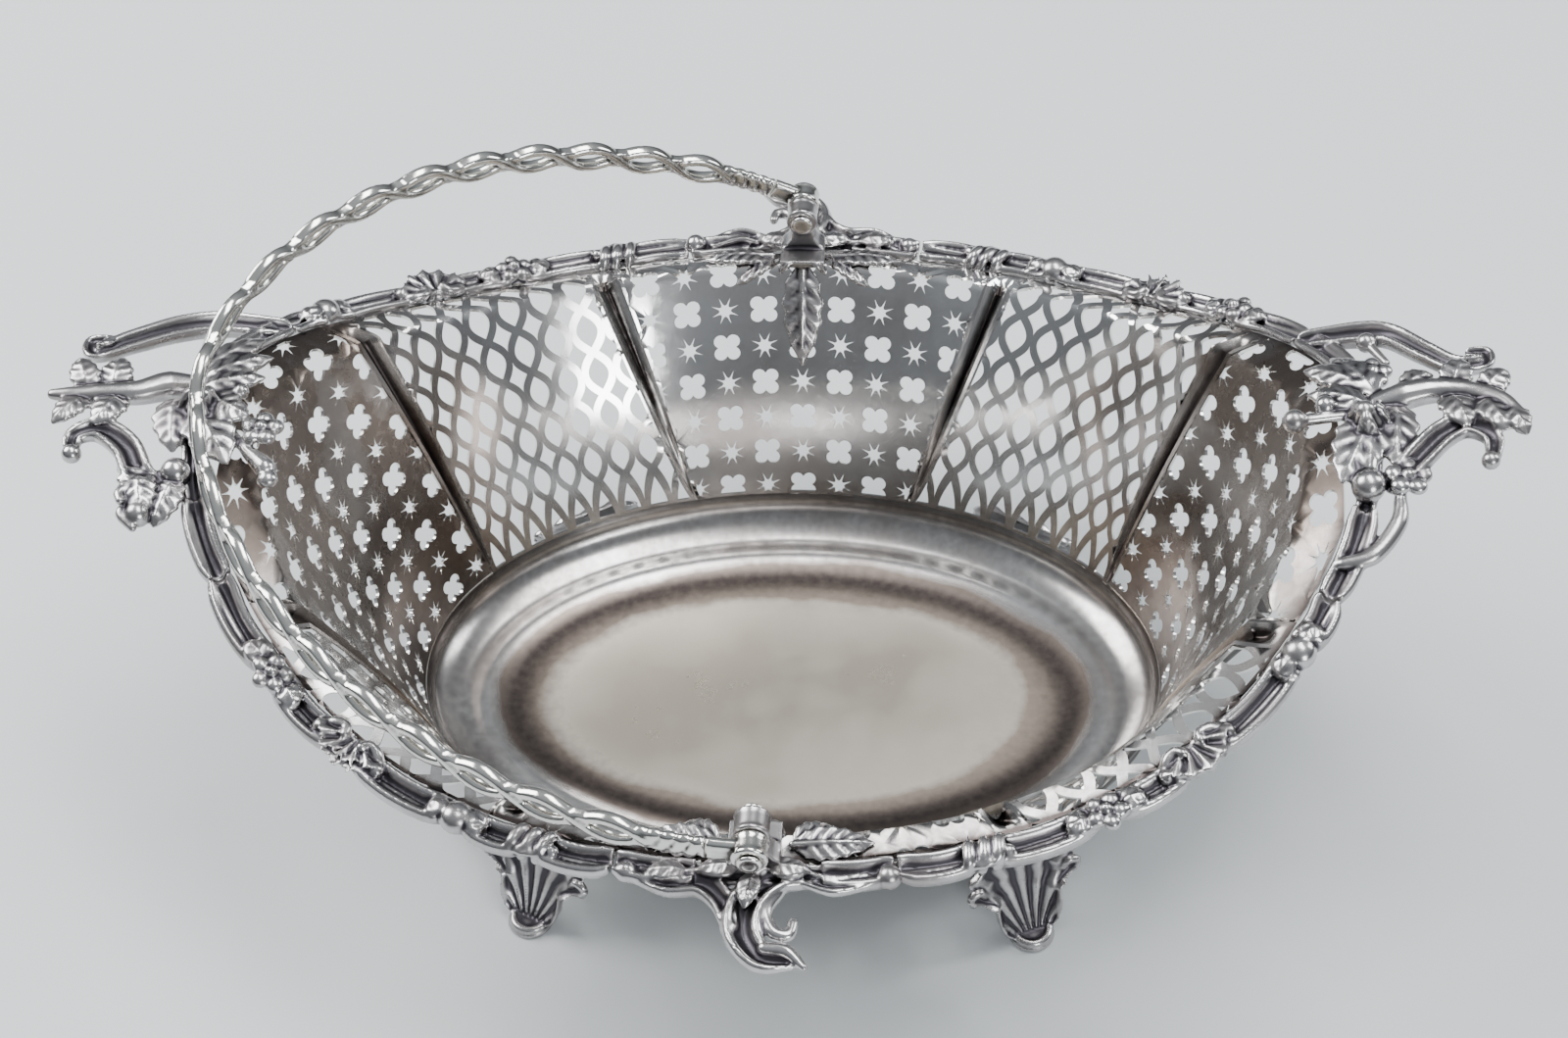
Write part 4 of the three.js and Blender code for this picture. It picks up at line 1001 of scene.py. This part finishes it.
def shell_ornament(casting, degrees):
    """A five-ribbed shell that opens outward from two small scrolls."""
    place = rim_frame(degrees)

    def inside_rail(places):
        return place(places + np.array([0, -3.6, 0.4]))

    casting.fan(10.6, 5, math.radians(138), inside_rail)
    for side in (-1, 1):
        casting.strand([(side * 8.6, -0.6, 1.0), (side * 6.4, -2.6, 2.4), (side * 3.6, -3.0, 3.0),
                        (side * 2.6, -1.2, 3.4)], (1.5, 1.5, 1.3, 1.2), place=place)
        casting.ball((side * 8.8, 0.4, 1.8), 1.9, 1.0, place)


def blossom_ornament(casting, degrees):
    """A flower between two leaves."""
    place = rim_frame(degrees)
    for k in range(petals):
        turn = 2 * math.pi * (k + 0.3) / petals
        casting.ball((3.1 * math.cos(turn), 1.2 + 3.1 * math.sin(turn), 2.4), 2.1, 0.8, place)
    casting.ball((0, 1.2, 3.6), 1.5, 1.0, place)
    for side in (-1, 1):
        casting.leaf((side * 3.4, 0.4, 1.6), (side * 10.5, 1.4, 1.6), 2.9,
                     thick=1.5, veins=3, arch=1.0, place=place)


def collar_ornament(casting, degrees):
    """Three bands slung over the rail, with a leaf and a bead."""
    place = rim_frame(degrees)
    for along in (-3.2, 0.4, 3.8):
        casting.strand([(along - 1.4, 3.4, -0.4), (along - 0.6, 2.2, 2.4), (along + 0.4, -1.4, 2.8),
                        (along + 1.4, -3.3, 0.2)], (1.2, 1.5, 1.5, 1.1), place=place)
    casting.leaf((4.6, 0.6, 1.6), (-3.6, 3.9, 1.2), 2.4, thick=1.4, veins=3, arch=0.8, place=place)
    casting.ball((5.8, 1.6, 1.6), 1.7, 1.0, place)


def under_rail(casting, start, end):
    """The thin rail that runs on under a border's or a crest's ornament."""
    casting.rail(start, end, size=2.5, ends=1, lift=-0.6)


ornaments = {
    "bead": bead_ornament, "shell": shell_ornament, "blossom": blossom_ornament, "collar": collar_ornament}
# Half the angle that an ornament covers, and the share of it that the C-scrolls leave free
clear_half = {"bead": 2.2, "shell": 3.2, "blossom": 2.4, "collar": 1.2}
clear_share = 0.4
border_ends = (24.15, 76.85)
collar_at = 68.9
borders = (
    ("border_back_left", "border_front_right", 180, -1,
     {"bead": 30.6, "shell": 45.5, "blossom": 56.4, "collar": collar_at}),
    ("border_back_right", "border_front_left", 0, 1,
     {"blossom": 36.2, "shell": 47.6, "bead": 61.1, "collar": collar_at}),
)


def make_border(turn, sign, ornament_angles):
    """A border's casting, its angles counted from this turn one way or the other round the rim."""
    casting = Casting()
    stations = [(border_ends[0], 0)]
    for kind, degrees in ornament_angles.items():
        stations.append((degrees, clear_half[kind] * clear_share))
        ornaments[kind](casting, turn + sign * degrees)
    stations.append((border_ends[1], 0))
    for (start, after), (end, before) in zip(stations, stations[1:]):
        casting.rail(turn + sign * (start + after), turn + sign * (end - before), bow=1.1, size=4.0)
    under_rail(casting, turn + sign * border_ends[0], turn + sign * border_ends[1])
    return casting


for name, across, turn, sign, ornament_angles in borders:
    border = melt(name + "_casting", make_border(turn, sign, ornament_angles))
    fit_pair(border, name, across, cast_finish)


# End crests: at each end a flowering branch grows out of the rim between two C-scrolls, and its tips reach
# outward. The leaf-wrapped bud on the rim is where the lowered handle rests.
crest_end, crest_scroll_ends = 23.85, (13.5, 12.5)
leaf_fullness = 1.22


def blossom(casting, middle, radius):
    """Round petals about a raised heart."""
    for k in range(petals):
        turn = 2 * math.pi * (k + 0.2) / petals
        casting.ball((middle[0] + radius * math.cos(turn), middle[1] + radius * math.sin(turn), middle[2]),
                     radius * 0.72, 0.7)
    casting.ball((middle[0], middle[1], middle[2] + 0.88), radius * 0.5)


def bud(casting, middle, radius, root):
    """A round bud on a stem from its root."""
    casting.ball(middle, radius)
    casting.strand([root, middle], (radius * 0.4, radius * 0.55))


def foliage(casting, leaves):
    """Serrated leaves, each with its root, its point and half its width."""
    for root, tip, half in leaves:
        casting.leaf(root, tip, half * leaf_fullness, thick=1.8, veins=5, arch=1.2, lobes=5)


def rest_bud(casting, way):
    """The bud that the handle comes down on, a blunt stem in three leaves."""
    casting.strand([(way * 141.6, 0, 118), (way * 140.4, 0, 122), (way * 139.6, 0, 125)], (4.6, 3.6, 2.5))
    for turn in np.radians((20, 140, 260)):
        foot = (way * (141.6 + 4.4 * math.cos(turn)), 4.4 * math.sin(turn), 118.5)
        casting.leaf(foot, (way * (139.8 + 2.4 * math.cos(turn)), 2.4 * math.sin(turn), 126.6), 2.4,
                     up=(way * math.cos(turn), math.sin(turn), 0.2), thick=1.3, veins=3, arch=0.6)


left_end, right_end = Casting(), Casting()
for casting, way in ((left_end, -1), (right_end, 1)):
    turn = 0 if way > 0 else 180
    under_rail(casting, turn + crest_end, turn - crest_end)
    casting.rail(turn + crest_end, turn + crest_scroll_ends[0], bow=0.6, size=3.8)
    casting.rail(turn - crest_end, turn - crest_scroll_ends[1], bow=0.6, size=3.8)
    rest_bud(casting, way)

# On the left: two C-scrolls and a stem, then leaves, a bundle of stalks, a bud and a flower
left_end.strand([(-131, 42, 108), (-145, 39, 112), (-154, 34, 115), (-163, 25, 119), (-170, 17.5, 122),
                 (-172, 21, 122), (-168.5, 22.5, 121.5)], (3.2, 3.9, 3.9, 3.5, 2.9, 2.3, 1.8), channelled)
left_end.strand([(-141, 10, 117.5), (-150, 8, 120), (-157, 4, 121.5), (-166, 2, 123), (-172, 0.5, 124),
                 (-176.6, 0, 124.6)], (2.6, 3.9, 3.2, 2.6, 2.2, 1.4))
left_end.strand([(-144, -24, 115), (-151, -22, 118), (-156, -14, 120.5), (-163, -9.5, 122),
                 (-168.5, -12, 122.4), (-168.5, -17, 122)], (2.8, 3.9, 3.8, 3.5, 2.7, 1.9), channelled)
left_end.ball((-168.3, -17.6, 122), 2.5)
left_end.ball((-150.5, -31, 115.5), 3.3)
left_end.strand([(-150, -27, 116.5), (-154.4, -31, 116), (-151, -35, 115)], (1.3, 1.5, 1.1))
foliage(left_end, (
    ((-163, 3, 122.5), (-162.5, 14.5, 123.4), 3.4), ((-168, 2, 123.6), (-173, 13, 124.6), 2.9),
    ((-160, 2, 122.2), (-164.5, -9, 123.2), 3.6), ((-168, 0, 123.8), (-174.5, -10, 124.4), 2.9),
    ((-148, 4, 120.5), (-145.5, -13, 118), 4.0), ((-143, -20, 117.5), (-146.5, -34, 113.8), 3.6),
    ((-145, 11, 120), (-130, 27, 118.4), 3.4), ((-144, 9, 120.4), (-126.5, 20, 118.8), 3.2),
    ((-143, 6, 120.6), (-127, 12.5, 119), 3.1), ((-143, 2, 120.6), (-131, -17, 118.4), 5.0),
    ((-141, 3, 120.8), (-128, -3, 120), 3.6), ((-152, -20, 119), (-149, -33, 115.6), 3.2),
))
for k in range(4):
    left_end.strand([(-147, -20 - 0.8 * k, 117.6), (-152 - 0.9 * k, -20.5 - 2.0 * k, 118.6),
                     (-156.5 + 0.7 * k, -19.5 - 3.4 * k, 118.8)], (1.0, 1.5, 1.1))
left_end.ball((-143.5, -19, 117.6), 3.7)
bud(left_end, (-131.5, 5.5, 121), 2.0, (-140, 4, 120.5))
blossom(left_end, (-124.5, -6, 119.6), 3.2)
left_end.strand([(-136, -2, 119.5), (-129, -10, 118), (-122.4, -16, 116.4)], (1.3, 1.4, 2.8))
left_end.ball((-121.4, -19, 115.8), 2.7, 0.8)

# On the right: two C-scrolls and a stem, then leaves, two flowers and five buds
right_end.strand([(131, 42, 108), (143, 40.5, 111.5), (150, 38, 113.5), (157, 28, 117.5),
                  (163, 20.5, 120.5), (169.4, 19.6, 122), (170.6, 23.6, 121.6), (167.4, 24.4, 121)],
                 (3.2, 3.9, 3.7, 3.4, 3.0, 2.5, 2.0, 1.6), channelled)
right_end.strand([(142, 8, 118), (150, 10, 120), (157, 11, 121), (165, 9.4, 122.4), (172, 5, 124),
                  (176.6, -2, 124.6)], (2.6, 3.6, 3.2, 2.7, 2.3, 1.5))
right_end.strand([(146, -16, 117), (152, -10, 120), (158, -4, 121.6), (163.5, -2, 122.4),
                  (168.6, -6, 122.8), (168.4, -12, 122.6)], (2.9, 3.8, 3.7, 3.4, 2.7, 1.9), channelled)
right_end.ball((167.6, -13.4, 122.4), 2.3)
foliage(right_end, (
    ((161, 10, 121.8), (164.5, 20.5, 123), 3.2), ((168, 8, 123.2), (174.6, 15, 124.4), 3.0),
    ((160, 9, 121.8), (163.5, -3.5, 123.4), 3.5), ((167, 7, 123), (172.4, -5.5, 124.2), 3.1),
    ((173, 3, 124), (176.6, -7, 124.2), 2.6), ((148, 8, 120.2), (146.5, -13, 118.6), 4.2),
    ((143, 4, 120.6), (133.5, -17.5, 118), 5.2), ((144, 10, 120.4), (134, 25, 118), 3.8),
    ((141, 13, 120), (127, 20, 118.4), 3.2), ((149, 11, 121), (157.5, 16, 121.6), 2.7),
    ((142, 6, 120.8), (127, 10.5, 119.4), 3.0),
))
blossom(right_end, (149, -15.5, 118.6), 3.4)
blossom(right_end, (143.5, 18.5, 119.4), 3.0)
bud(right_end, (139.6, -18, 118), 4.1, (141.5, 0, 121))
bud(right_end, (131, 5, 121.4), 2.6, (140, 5, 120.6))
bud(right_end, (123.6, 0.6, 120.4), 3.0, (138, 3, 120.6))
bud(right_end, (144, 34.5, 114.4), 2.6, (148, 26, 115.6))
bud(right_end, (141.6, 1.6, 123), 1.8, (143.5, 6, 121.6))
right_end.strand([(147, -20, 116.5), (146, -27, 115), (140, -34.5, 112), (133, -36, 110.6)],
                 (1.6, 2.2, 2.2, 1.6))

for name, casting in (("left", left_end), ("right", right_end)):
    fit(melt("end_crest_" + name + "_casting", casting), "end_crest_" + name, cast_finish)


# Middle crests: below each hinge the rim breaks into a small and a large C-scroll, the large one reaching
# out over the side. The far casting is the near one turned half round.
near_crest = Casting()
under_rail(near_crest, 257.15, 282.85)
near_crest.rail(257.15, 264.6, bow=0.5, size=3.8)
near_crest.rail(282.85, 276.2, bow=0.5, size=3.8)
near_crest.strand([(-26, -107, 80.6), (-19, -109.6, 81.4), (-12, -109.4, 81.6), (-7, -113.4, 81),
                   (-4.6, -119.6, 80.2)], (2.3, 3.3, 3.5, 3.1, 2.1), channelled)
near_crest.ball((-4.8, -120.4, 80.2), 2.1)
near_crest.strand([(14, -106.4, 81), (5, -108, 81.8), (-0.8, -114, 81), (-1.6, -121.5, 80),
                   (2.6, -127.6, 79.6), (9.0, -128.6, 79.4)], (2.8, 4.0, 4.5, 4.5, 3.6, 1.8), channelled)
near_crest.strand([(6.4, -110.5, 81.4), (3.2, -116, 80.8), (5, -121, 80.2), (8.6, -121.6, 80),
                   (9.4, -118.6, 80.2)], (1.4, 1.7, 1.7, 1.5, 1.3))
near_crest.strand([(3.4, -125.4, 80.2), (8.4, -126.2, 80.4), (12.4, -130, 80)], (1.6, 1.7, 0.9))
near_crest.strand([(11, -107.6, 82), (18, -109.6, 82), (25, -107.6, 81.2)], (2.0, 2.6, 2.2), channelled)
near_crest.ball((30.4, -106.4, 81.6), 2.9)
near_crest.ball((-29, -106.6, 81.4), 2.5)
for root, tip, half in (
    ((-3, -106, 83.4), (-13, -107, 83), 2.8), ((3, -106, 83.4), (13, -106.6, 83.2), 2.8),
    ((-15, -107, 83), (-25, -107.4, 82), 2.6), ((0, -107, 83), (-1.6, -117, 82.8), 2.6),
):
    near_crest.leaf(root, tip, half, thick=1.5, veins=4, arch=1.0)
fit_pair(melt("middle_crest_front_casting", near_crest), "middle_crest_front", "middle_crest_back",
         cast_finish)


# Hinge lugs: on each side a barrel on a waisted post, cast with the veined leaf that is soldered down the
# inside of the wall. The near one is the far one turned half round.
hinge_level = 95.0
barrel_radius = 4.3
# One end of a barrel: how far out of its radius, and how far along from its end
barrel_edge = ((-1.6, 0), (-0.7, 0), (-0.2, 0.7 / 3), (0, 0.7), (-0.25, 1.6))
lug_inner, lug_outer, post_inset = 100.1, 106.6, 0.4
hinge_voxel = 0.3


def at_hinge(places):
    """Lifts places that are given from the hinge's axis."""
    return places + np.array([0, 0, hinge_level])


def barrel(casting, inner, outer):
    """A barrel on the hinge's axis, with rounded ends and a narrower waist."""
    near = [(barrel_radius + out, inner + along) for out, along in barrel_edge]
    far = [(barrel_radius + out, outer - along) for out, along in reversed(barrel_edge)]
    casting.turned(near + far, at_hinge)


def on_inner_wall(degrees, level, off):
    """A place off the inner face of the wall, in millimetres, with the way off it."""
    angle, level = np.array([math.radians(degrees)]), np.array([level])
    inward = -bowl_normals(angle, level)[0]
    return bowl(angle, level)[0] / mm + inward * off, inward


far_lug = Casting()
barrel(far_lug, lug_inner, lug_outer)
post = []
near_face, far_face = lug_inner + post_inset, lug_outer - post_inset
for height, half in ((84.4, 6.2), (85.6, 5.9), (87, 4.4), (88.8, 3.2), (91, 2.9), (93, 3.3), (95, 3.3)):
    corners = ((-half, near_face), (half, near_face), (half, far_face), (-half, far_face))
    post.append([(x, y, height) for x, y in corners])
far_lug.loft(post)
base = ((-6, 83.6), (6, 83.6), (6, 85.8), (-6, 85.8))
far_lug.loft([[(x, y, z) for x, z in base] for y in (94.6, 102.9)])
root, inward = on_inner_wall(90, 1.02, 1.4)
tip, _ = on_inner_wall(90, 0.6, 1.2)
far_lug.leaf(root, tip, 5.2, up=inward, thick=1.7, veins=6, arch=1.0, lobes=5)
far_lug.strand([root + inward * 0.4, (root + tip) / 2 + inward * 1.5, tip + inward * 0.2], (1.5, 1.1, 0.7))
for side in (-1, 1):
    far_lug.leaf((side * 2, 96.5, 85.6), (side * 6.4, 95.6, 80.5), 2.6,
                 up=inward, thick=1.4, veins=3, arch=0.8)
fit_pair(melt("hinge_lug_back_casting", far_lug, hinge_voxel), "hinge_lug_back", "hinge_lug_front",
         cast_finish)


# Hinge pins: drawn silver wire with a flat head inside the bowl, put through the lug and the knuckle and
# hammered over a dimple outside.
pin_voxel = 0.2
pin_finish = silver("pin_silver", {"Hollow": "hollow"}, bump=0.2, Tarnish=0.7, Patch_Size=200.0)
far_pin = Casting()
inner_head = [(0.3, 98.7), (2.3, 98.6), (2.8, 98.9), (2.9, 99.3), (2.7, 99.8), (1.6, 99.9)]
riveted_head = [(1.6, 113.2), (2.7, 113.3), (2.9, 113.7), (2.4, 114.2), (1.5, 114.2), (1.2, 113.9),
                (0.3, 113.7)]
far_pin.turned(inner_head + riveted_head, at_hinge)
fit_pair(melt("hinge_pin_back_wire", far_pin, pin_voxel), "hinge_pin_back", "hinge_pin_front",
         pin_finish)


# Side leaves: beside each hinge a large and a small serrated leaf, cast flat in one, bent to the brim and
# soldered on. Those at the near hinge are the far ones turned half round.
leaf_voxel = 0.28
for side, name, other in ((1, "right", "left"), (-1, "left", "right")):
    casting = Casting()
    root, inward = on_inner_wall(90 - side * 3.6, 1.4, 1.2)
    tip, _ = on_inner_wall(90 - side * 11.6, 1.5, 1.2)
    casting.leaf(root, tip, 3.9, up=inward, thick=1.6, veins=6, arch=0.9, lobes=6)
    casting.strand([root + inward * 0.6, (root + tip) / 2 + inward * 1.3, tip + inward * 0.2],
                   (0.9, 0.7, 0.4))
    low_root, _ = on_inner_wall(90 - side * 3.6, 1.2, 1.2)
    low_tip, _ = on_inner_wall(90 - side * 8.4, 0.93, 1.3)
    casting.leaf(low_root, low_tip, 3.0, up=inward, thick=1.5, veins=4, arch=0.8, lobes=5)
    fit_pair(melt("hinge_leaf_back_" + name + "_casting", casting, leaf_voxel), "hinge_leaf_back_" + name,
             "hinge_leaf_front_" + other, cast_finish)


# Handle: a guilloche of two cast strands that pass over and under each other, soldered to a plain notched
# bar at each end. It is made straight, link by link, and then bent to the arch.
bow_half_span, bow_height, bow_roundness = 110.0, 143.5, 1.71
bow_tilt, bow_twist = 75.0, 13.9
link_pitch, link_count, link_reach = 16.3, 21, 0.53
ribbon_swing, ribbon_width, ribbon_thickness, ribbon_lift = 3.1, 2.7, 3.4, 0.3
crossing_length, crossing_width, crossing_thickness = 2.6, 2.4, 1.3
bar_width, bar_thickness, bar_end, bar_step = 6.2, 3.3, 9.9, 0.35
notch_pitch, notch_depth, notch_width, notch_slant = 3.4, 0.75, 0.5, 1.3
handle_voxel = 0.42

arch_turns = np.linspace(0, math.pi, 1441)
arch_power = 2 / bow_roundness
arch = np.stack([-bow_half_span * np.sign(np.cos(arch_turns)) * np.abs(np.cos(arch_turns)) ** arch_power,
                 bow_height * np.abs(np.sin(arch_turns)) ** arch_power], axis=1)
arch_length = np.concatenate([[0], np.cumsum(np.linalg.norm(np.diff(arch, axis=0), axis=1))])
arch_half = arch_length[-1] / 2


def on_arch(length):
    """A place on the upright arch, for a length along it from its top."""
    at = length + arch_half
    return np.stack([np.interp(at, arch_length, arch[:, axis]) for axis in range(2)], axis=-1)


def on_bow(places):
    """Bends places given along, across and outward of the straight handle to the lowered arch."""
    places = np.asarray(places, float)
    middle = on_arch(places[:, 0])
    ahead = unit(on_arch(places[:, 0] + 0.5) - on_arch(places[:, 0] - 0.5))
    y = middle[:, 0] - ahead[:, 1] * places[:, 2]
    height = middle[:, 1] + ahead[:, 0] * places[:, 2]
    tilt = np.radians(bow_tilt - bow_twist * y / bow_half_span)
    x = -np.sin(tilt) * height + np.cos(tilt) * places[:, 1]
    return np.stack([x, y, hinge_level + np.cos(tilt) * height + np.sin(tilt) * places[:, 1]], axis=1)


def squared(value):
    """A sine or cosine drawn towards the corners of a square."""
    return math.copysign(abs(value) ** 0.7, value)


soft_square = [(squared(math.cos(t)), squared(math.sin(t)))
               for t in np.linspace(0, 2 * math.pi, 12, endpoint=False)]
link = Casting()
for side in (-1, 1):
    rings = []
    for x in np.linspace(-link_reach, link_reach, 15) * link_pitch:
        turn = math.pi * x / link_pitch
        slope = -side * ribbon_swing * math.pi / link_pitch * math.sin(turn)
        across = side * ribbon_swing * math.cos(turn)
        lift = -side * ribbon_lift * math.sin(turn)
        aslant = np.array([-slope, 1.0]) / math.hypot(slope, 1)
        rings.append([(x + aslant[0] * u * ribbon_width / 2, across + aslant[1] * u * ribbon_width / 2,
                       lift + v * ribbon_thickness / 2) for u, v in soft_square])
    link.loft(rings)
# Where the ribbons cross, a small block joins them
crossing = [(y * crossing_width, z * crossing_thickness) for y, z in ((-1, -1), (1, -1), (1, 1), (-1, 1))]
for end in (-0.5, 0.5):
    link.loft([[(end * link_pitch + x, y, z) for y, z in crossing]
               for x in (-crossing_length, crossing_length)])
link_piece = new_piece("link", np.array(link.points) * mm, link.faces)


def chain_tree():
    """Links in a row, each turned half over from the one before."""
    tree, sizes = new_tree("chain", Link="Object", Count="Int", Pitch="Float", Material="Material")
    index = add(tree, "GeometryNodeInputIndex").outputs[0]
    centred = maths(tree, "MULTIPLY_ADD", maths(tree, "SUBTRACT", sizes["Count"], 1.0), -0.5, index)
    along = maths(tree, "MULTIPLY", centred, sizes["Pitch"])
    turn = maths(tree, "MULTIPLY", maths(tree, "MODULO", index, 2.0), math.pi)
    place = add(tree, "ShaderNodeCombineXYZ", {"X": along}).outputs[0]
    turned = add(tree, "ShaderNodeCombineXYZ", {"X": turn}).outputs[0]
    points = add(tree, "GeometryNodePoints", {"Count": sizes["Count"], "Position": place}).outputs[0]
    shape = add(tree, "GeometryNodeObjectInfo", {"Object": sizes["Link"]}).outputs["Geometry"]
    laid = add(tree, "GeometryNodeInstanceOnPoints", {
        "Points": points, "Instance": shape, "Rotation": turned}).outputs[0]
    end_tree(tree, laid, sizes["Material"])
    return tree


handle_finish = silver("handle_silver", {"Hollow": "hollow"}, bump=0.08, Tarnish=0.12, Patch_Size=50.0,
                       Gloss=0.15, Bright=(0.70, 0.69, 0.655, 1), Dark=(0.07, 0.065, 0.06, 1))
chain = run_tree("chain", chain_tree(), Link=link_piece, Count=link_count, Pitch=link_pitch * mm,
                 Material=handle_finish)
bpy.data.objects.remove(link_piece)
bow = Casting()
bow.points = list(on_bow(read(chain, "position", 3) / mm))
bow.faces = [tuple(polygon.vertices) for polygon in chain.polygons]


def bar(casting, start, stop, notched):
    """The handle's plain end: a rounded bar, cut with slanting notches like a rope's lay."""
    rings = []
    for along in np.linspace(start, stop, max(4, round((stop - start) / bar_step))):
        ring = []
        for u, v in soft_square:
            twist = (along + notch_slant * u) / notch_pitch
            off = (twist - round(twist)) * notch_pitch
            cut = notch_depth * math.exp(-((off / notch_width) ** 2)) if notched else 0
            ring.append((along, u * (bar_width / 2 - cut * 0.5), v * (bar_thickness / 2 - cut)))
        rings.append(on_bow(ring))
    casting.loft(rings)


chain_half = link_count * link_pitch / 2
for start, stop in ((-(arch_half - bar_end), -(chain_half - 2)), (chain_half - 2, arch_half - bar_end)):
    bar(bow, start, stop, notched=True)
bow_piece = melt("handle_guilloche", bow, handle_voxel)
fit(bow_piece, "handle", handle_finish, "swing_handle")


# Knuckles: the handle's own barrels, each cast with a short neck that the bar is soldered to. They turn on
# the pins, outside the lugs.
knuckle_inner, knuckle_outer = 107.0, 113.0
neck_start, neck_end = arch_half - bar_end + 0.3, arch_half - 2.0
for name, way in (("front", -1), ("back", 1)):
    casting = Casting()
    barrel(casting, *sorted((way * knuckle_inner, way * knuckle_outer)))
    bar(casting, *sorted((way * neck_start, way * neck_end)), notched=False)
    piece = melt("handle_knuckle_" + name + "_casting", casting, hinge_voxel)
    fit(piece, "handle_knuckle_" + name, handle_finish, "swing_handle")


# Feet: four cast shells, soldered under the band, that spread into two wings and stand on ringed pads. One
# pattern serves the far right and near left feet, and its mirror image the other two.
foot_angle, foot_top, foot_splay, foot_clear = 53.5, 27.0, 10.0, 2.9
foot_half_width, foot_rib_pitch, foot_flare = 15.5, 12.0, 2.6
foot_face, foot_back, rib_height, roll_height = 0.4, 1.0, 1.1, 1.7
foot_wing_end, foot_lobe = 0.5, 1.3
# The shell's width, as a share of its greatest, at shares of the way down
foot_rows = (0, 0.1, 0.25, 0.42, 0.5, 0.55, 0.75, 0.88, 0.95, 1)
foot_spread = (0.42, 0.6, 0.86, 0.9, 0.72, 0.58, 0.56, 0.47, 0.34, 0.2)
foot_voxel = 0.36
pad_radius, pad_core = 6.0, 0.5
# The pad's rings: how far in from its radius, and how high
pad_rings = ((0.4, 0), (0, 0.5), (0.2, 1.2), (0.9, 1.5), (0.6, 2.0), (0.9, 2.7), (1.9, 3.0), (2.6, 2.4))


def make_foot():
    """The far right foot."""
    casting = Casting()
    turn = math.radians(foot_angle)
    out = unit(np.array([math.cos(turn) / band_size[0], math.sin(turn) / band_size[1], 0]))
    across = np.array([-out[1], out[0], 0])
    upward = np.array([0, 0, 1.0])
    level = (foot_top * mm - band_height) / (crest_height - band_height)
    under_wall = bowl(np.array([turn]), np.array([level]))[0] / mm * np.array([1, 1, 0])
    rings = []
    wide = np.linspace(-1, 1, 73)
    for row in np.linspace(0.02, 0.97, 40):
        spread = np.interp(row, foot_rows, foot_spread)
        fan = np.degrees(np.arctan2(wide * spread * foot_half_width, foot_top * (1 - row) + 4))
        rib = 0.5 + 0.5 * np.cos(2 * math.pi * fan / foot_rib_pitch)
        rolled = ramp(np.abs(wide), 0.84, 0.1) * (row > foot_wing_end)
        lobes = foot_lobe * abs(math.sin(3 * math.pi * row / foot_wing_end)) * (row < foot_wing_end)
        flare = foot_flare * np.abs(wide) ** 2 * math.sin(math.pi * row)
        away = foot_clear + foot_splay * row**1.5 + flare
        sideways = wide * (spread * foot_half_width + lobes)
        base = under_wall + upward * (foot_top * (1 - row) + 0.8 * row)
        relief = rib_height * rib * (1 - rolled) + roll_height * rolled
        outer = base + out * (away + foot_face + relief)[:, None] + across * sideways[:, None]
        inner = base + out * (away - foot_back)[:, None] + across * sideways[:, None]
        rings.append(np.vstack([outer, inner[::-1]]))
    casting.loft(rings)
    centre = under_wall + out * (foot_clear + foot_splay)

    def standing(places):
        return centre + np.asarray(places)[:, [0, 2, 1]]

    profile = [(pad_radius - inset, height) for inset, height in pad_rings]
    casting.turned([(pad_core, 0)] + profile + [(pad_core, profile[-1][1])], standing)
    for side in (-1, 1):
        wing = under_wall + out * (foot_clear + 5.0) + across * side * (foot_half_width - 1.4)
        curl = ((0, 14.6), (0.8, 17.4), (-1.6, 18.6), (-3.2, 16.4))
        casting.strand([wing + across * side * along + upward * height for along, height in curl],
                       (1.1, 1.2, 1.1, 0.9))
    return casting


foot_piece = melt("foot_back_right_casting", make_foot(), foot_voxel, floor_at=0.0)
fit_pair(foot_piece, "foot_back_right", "foot_front_left", cast_finish)
mirrored_foot = bpy.data.objects.new("foot_back_left_casting", foot_piece.data.copy())
bpy.context.scene.collection.objects.link(mirrored_foot)
mirrored_foot.data.transform(Matrix.Diagonal((-1, 1, 1, 1)))
mirrored_foot.data.flip_normals()
mirrored_foot.data.update()
fit_pair(mirrored_foot, "foot_back_left", "foot_front_right", cast_finish)
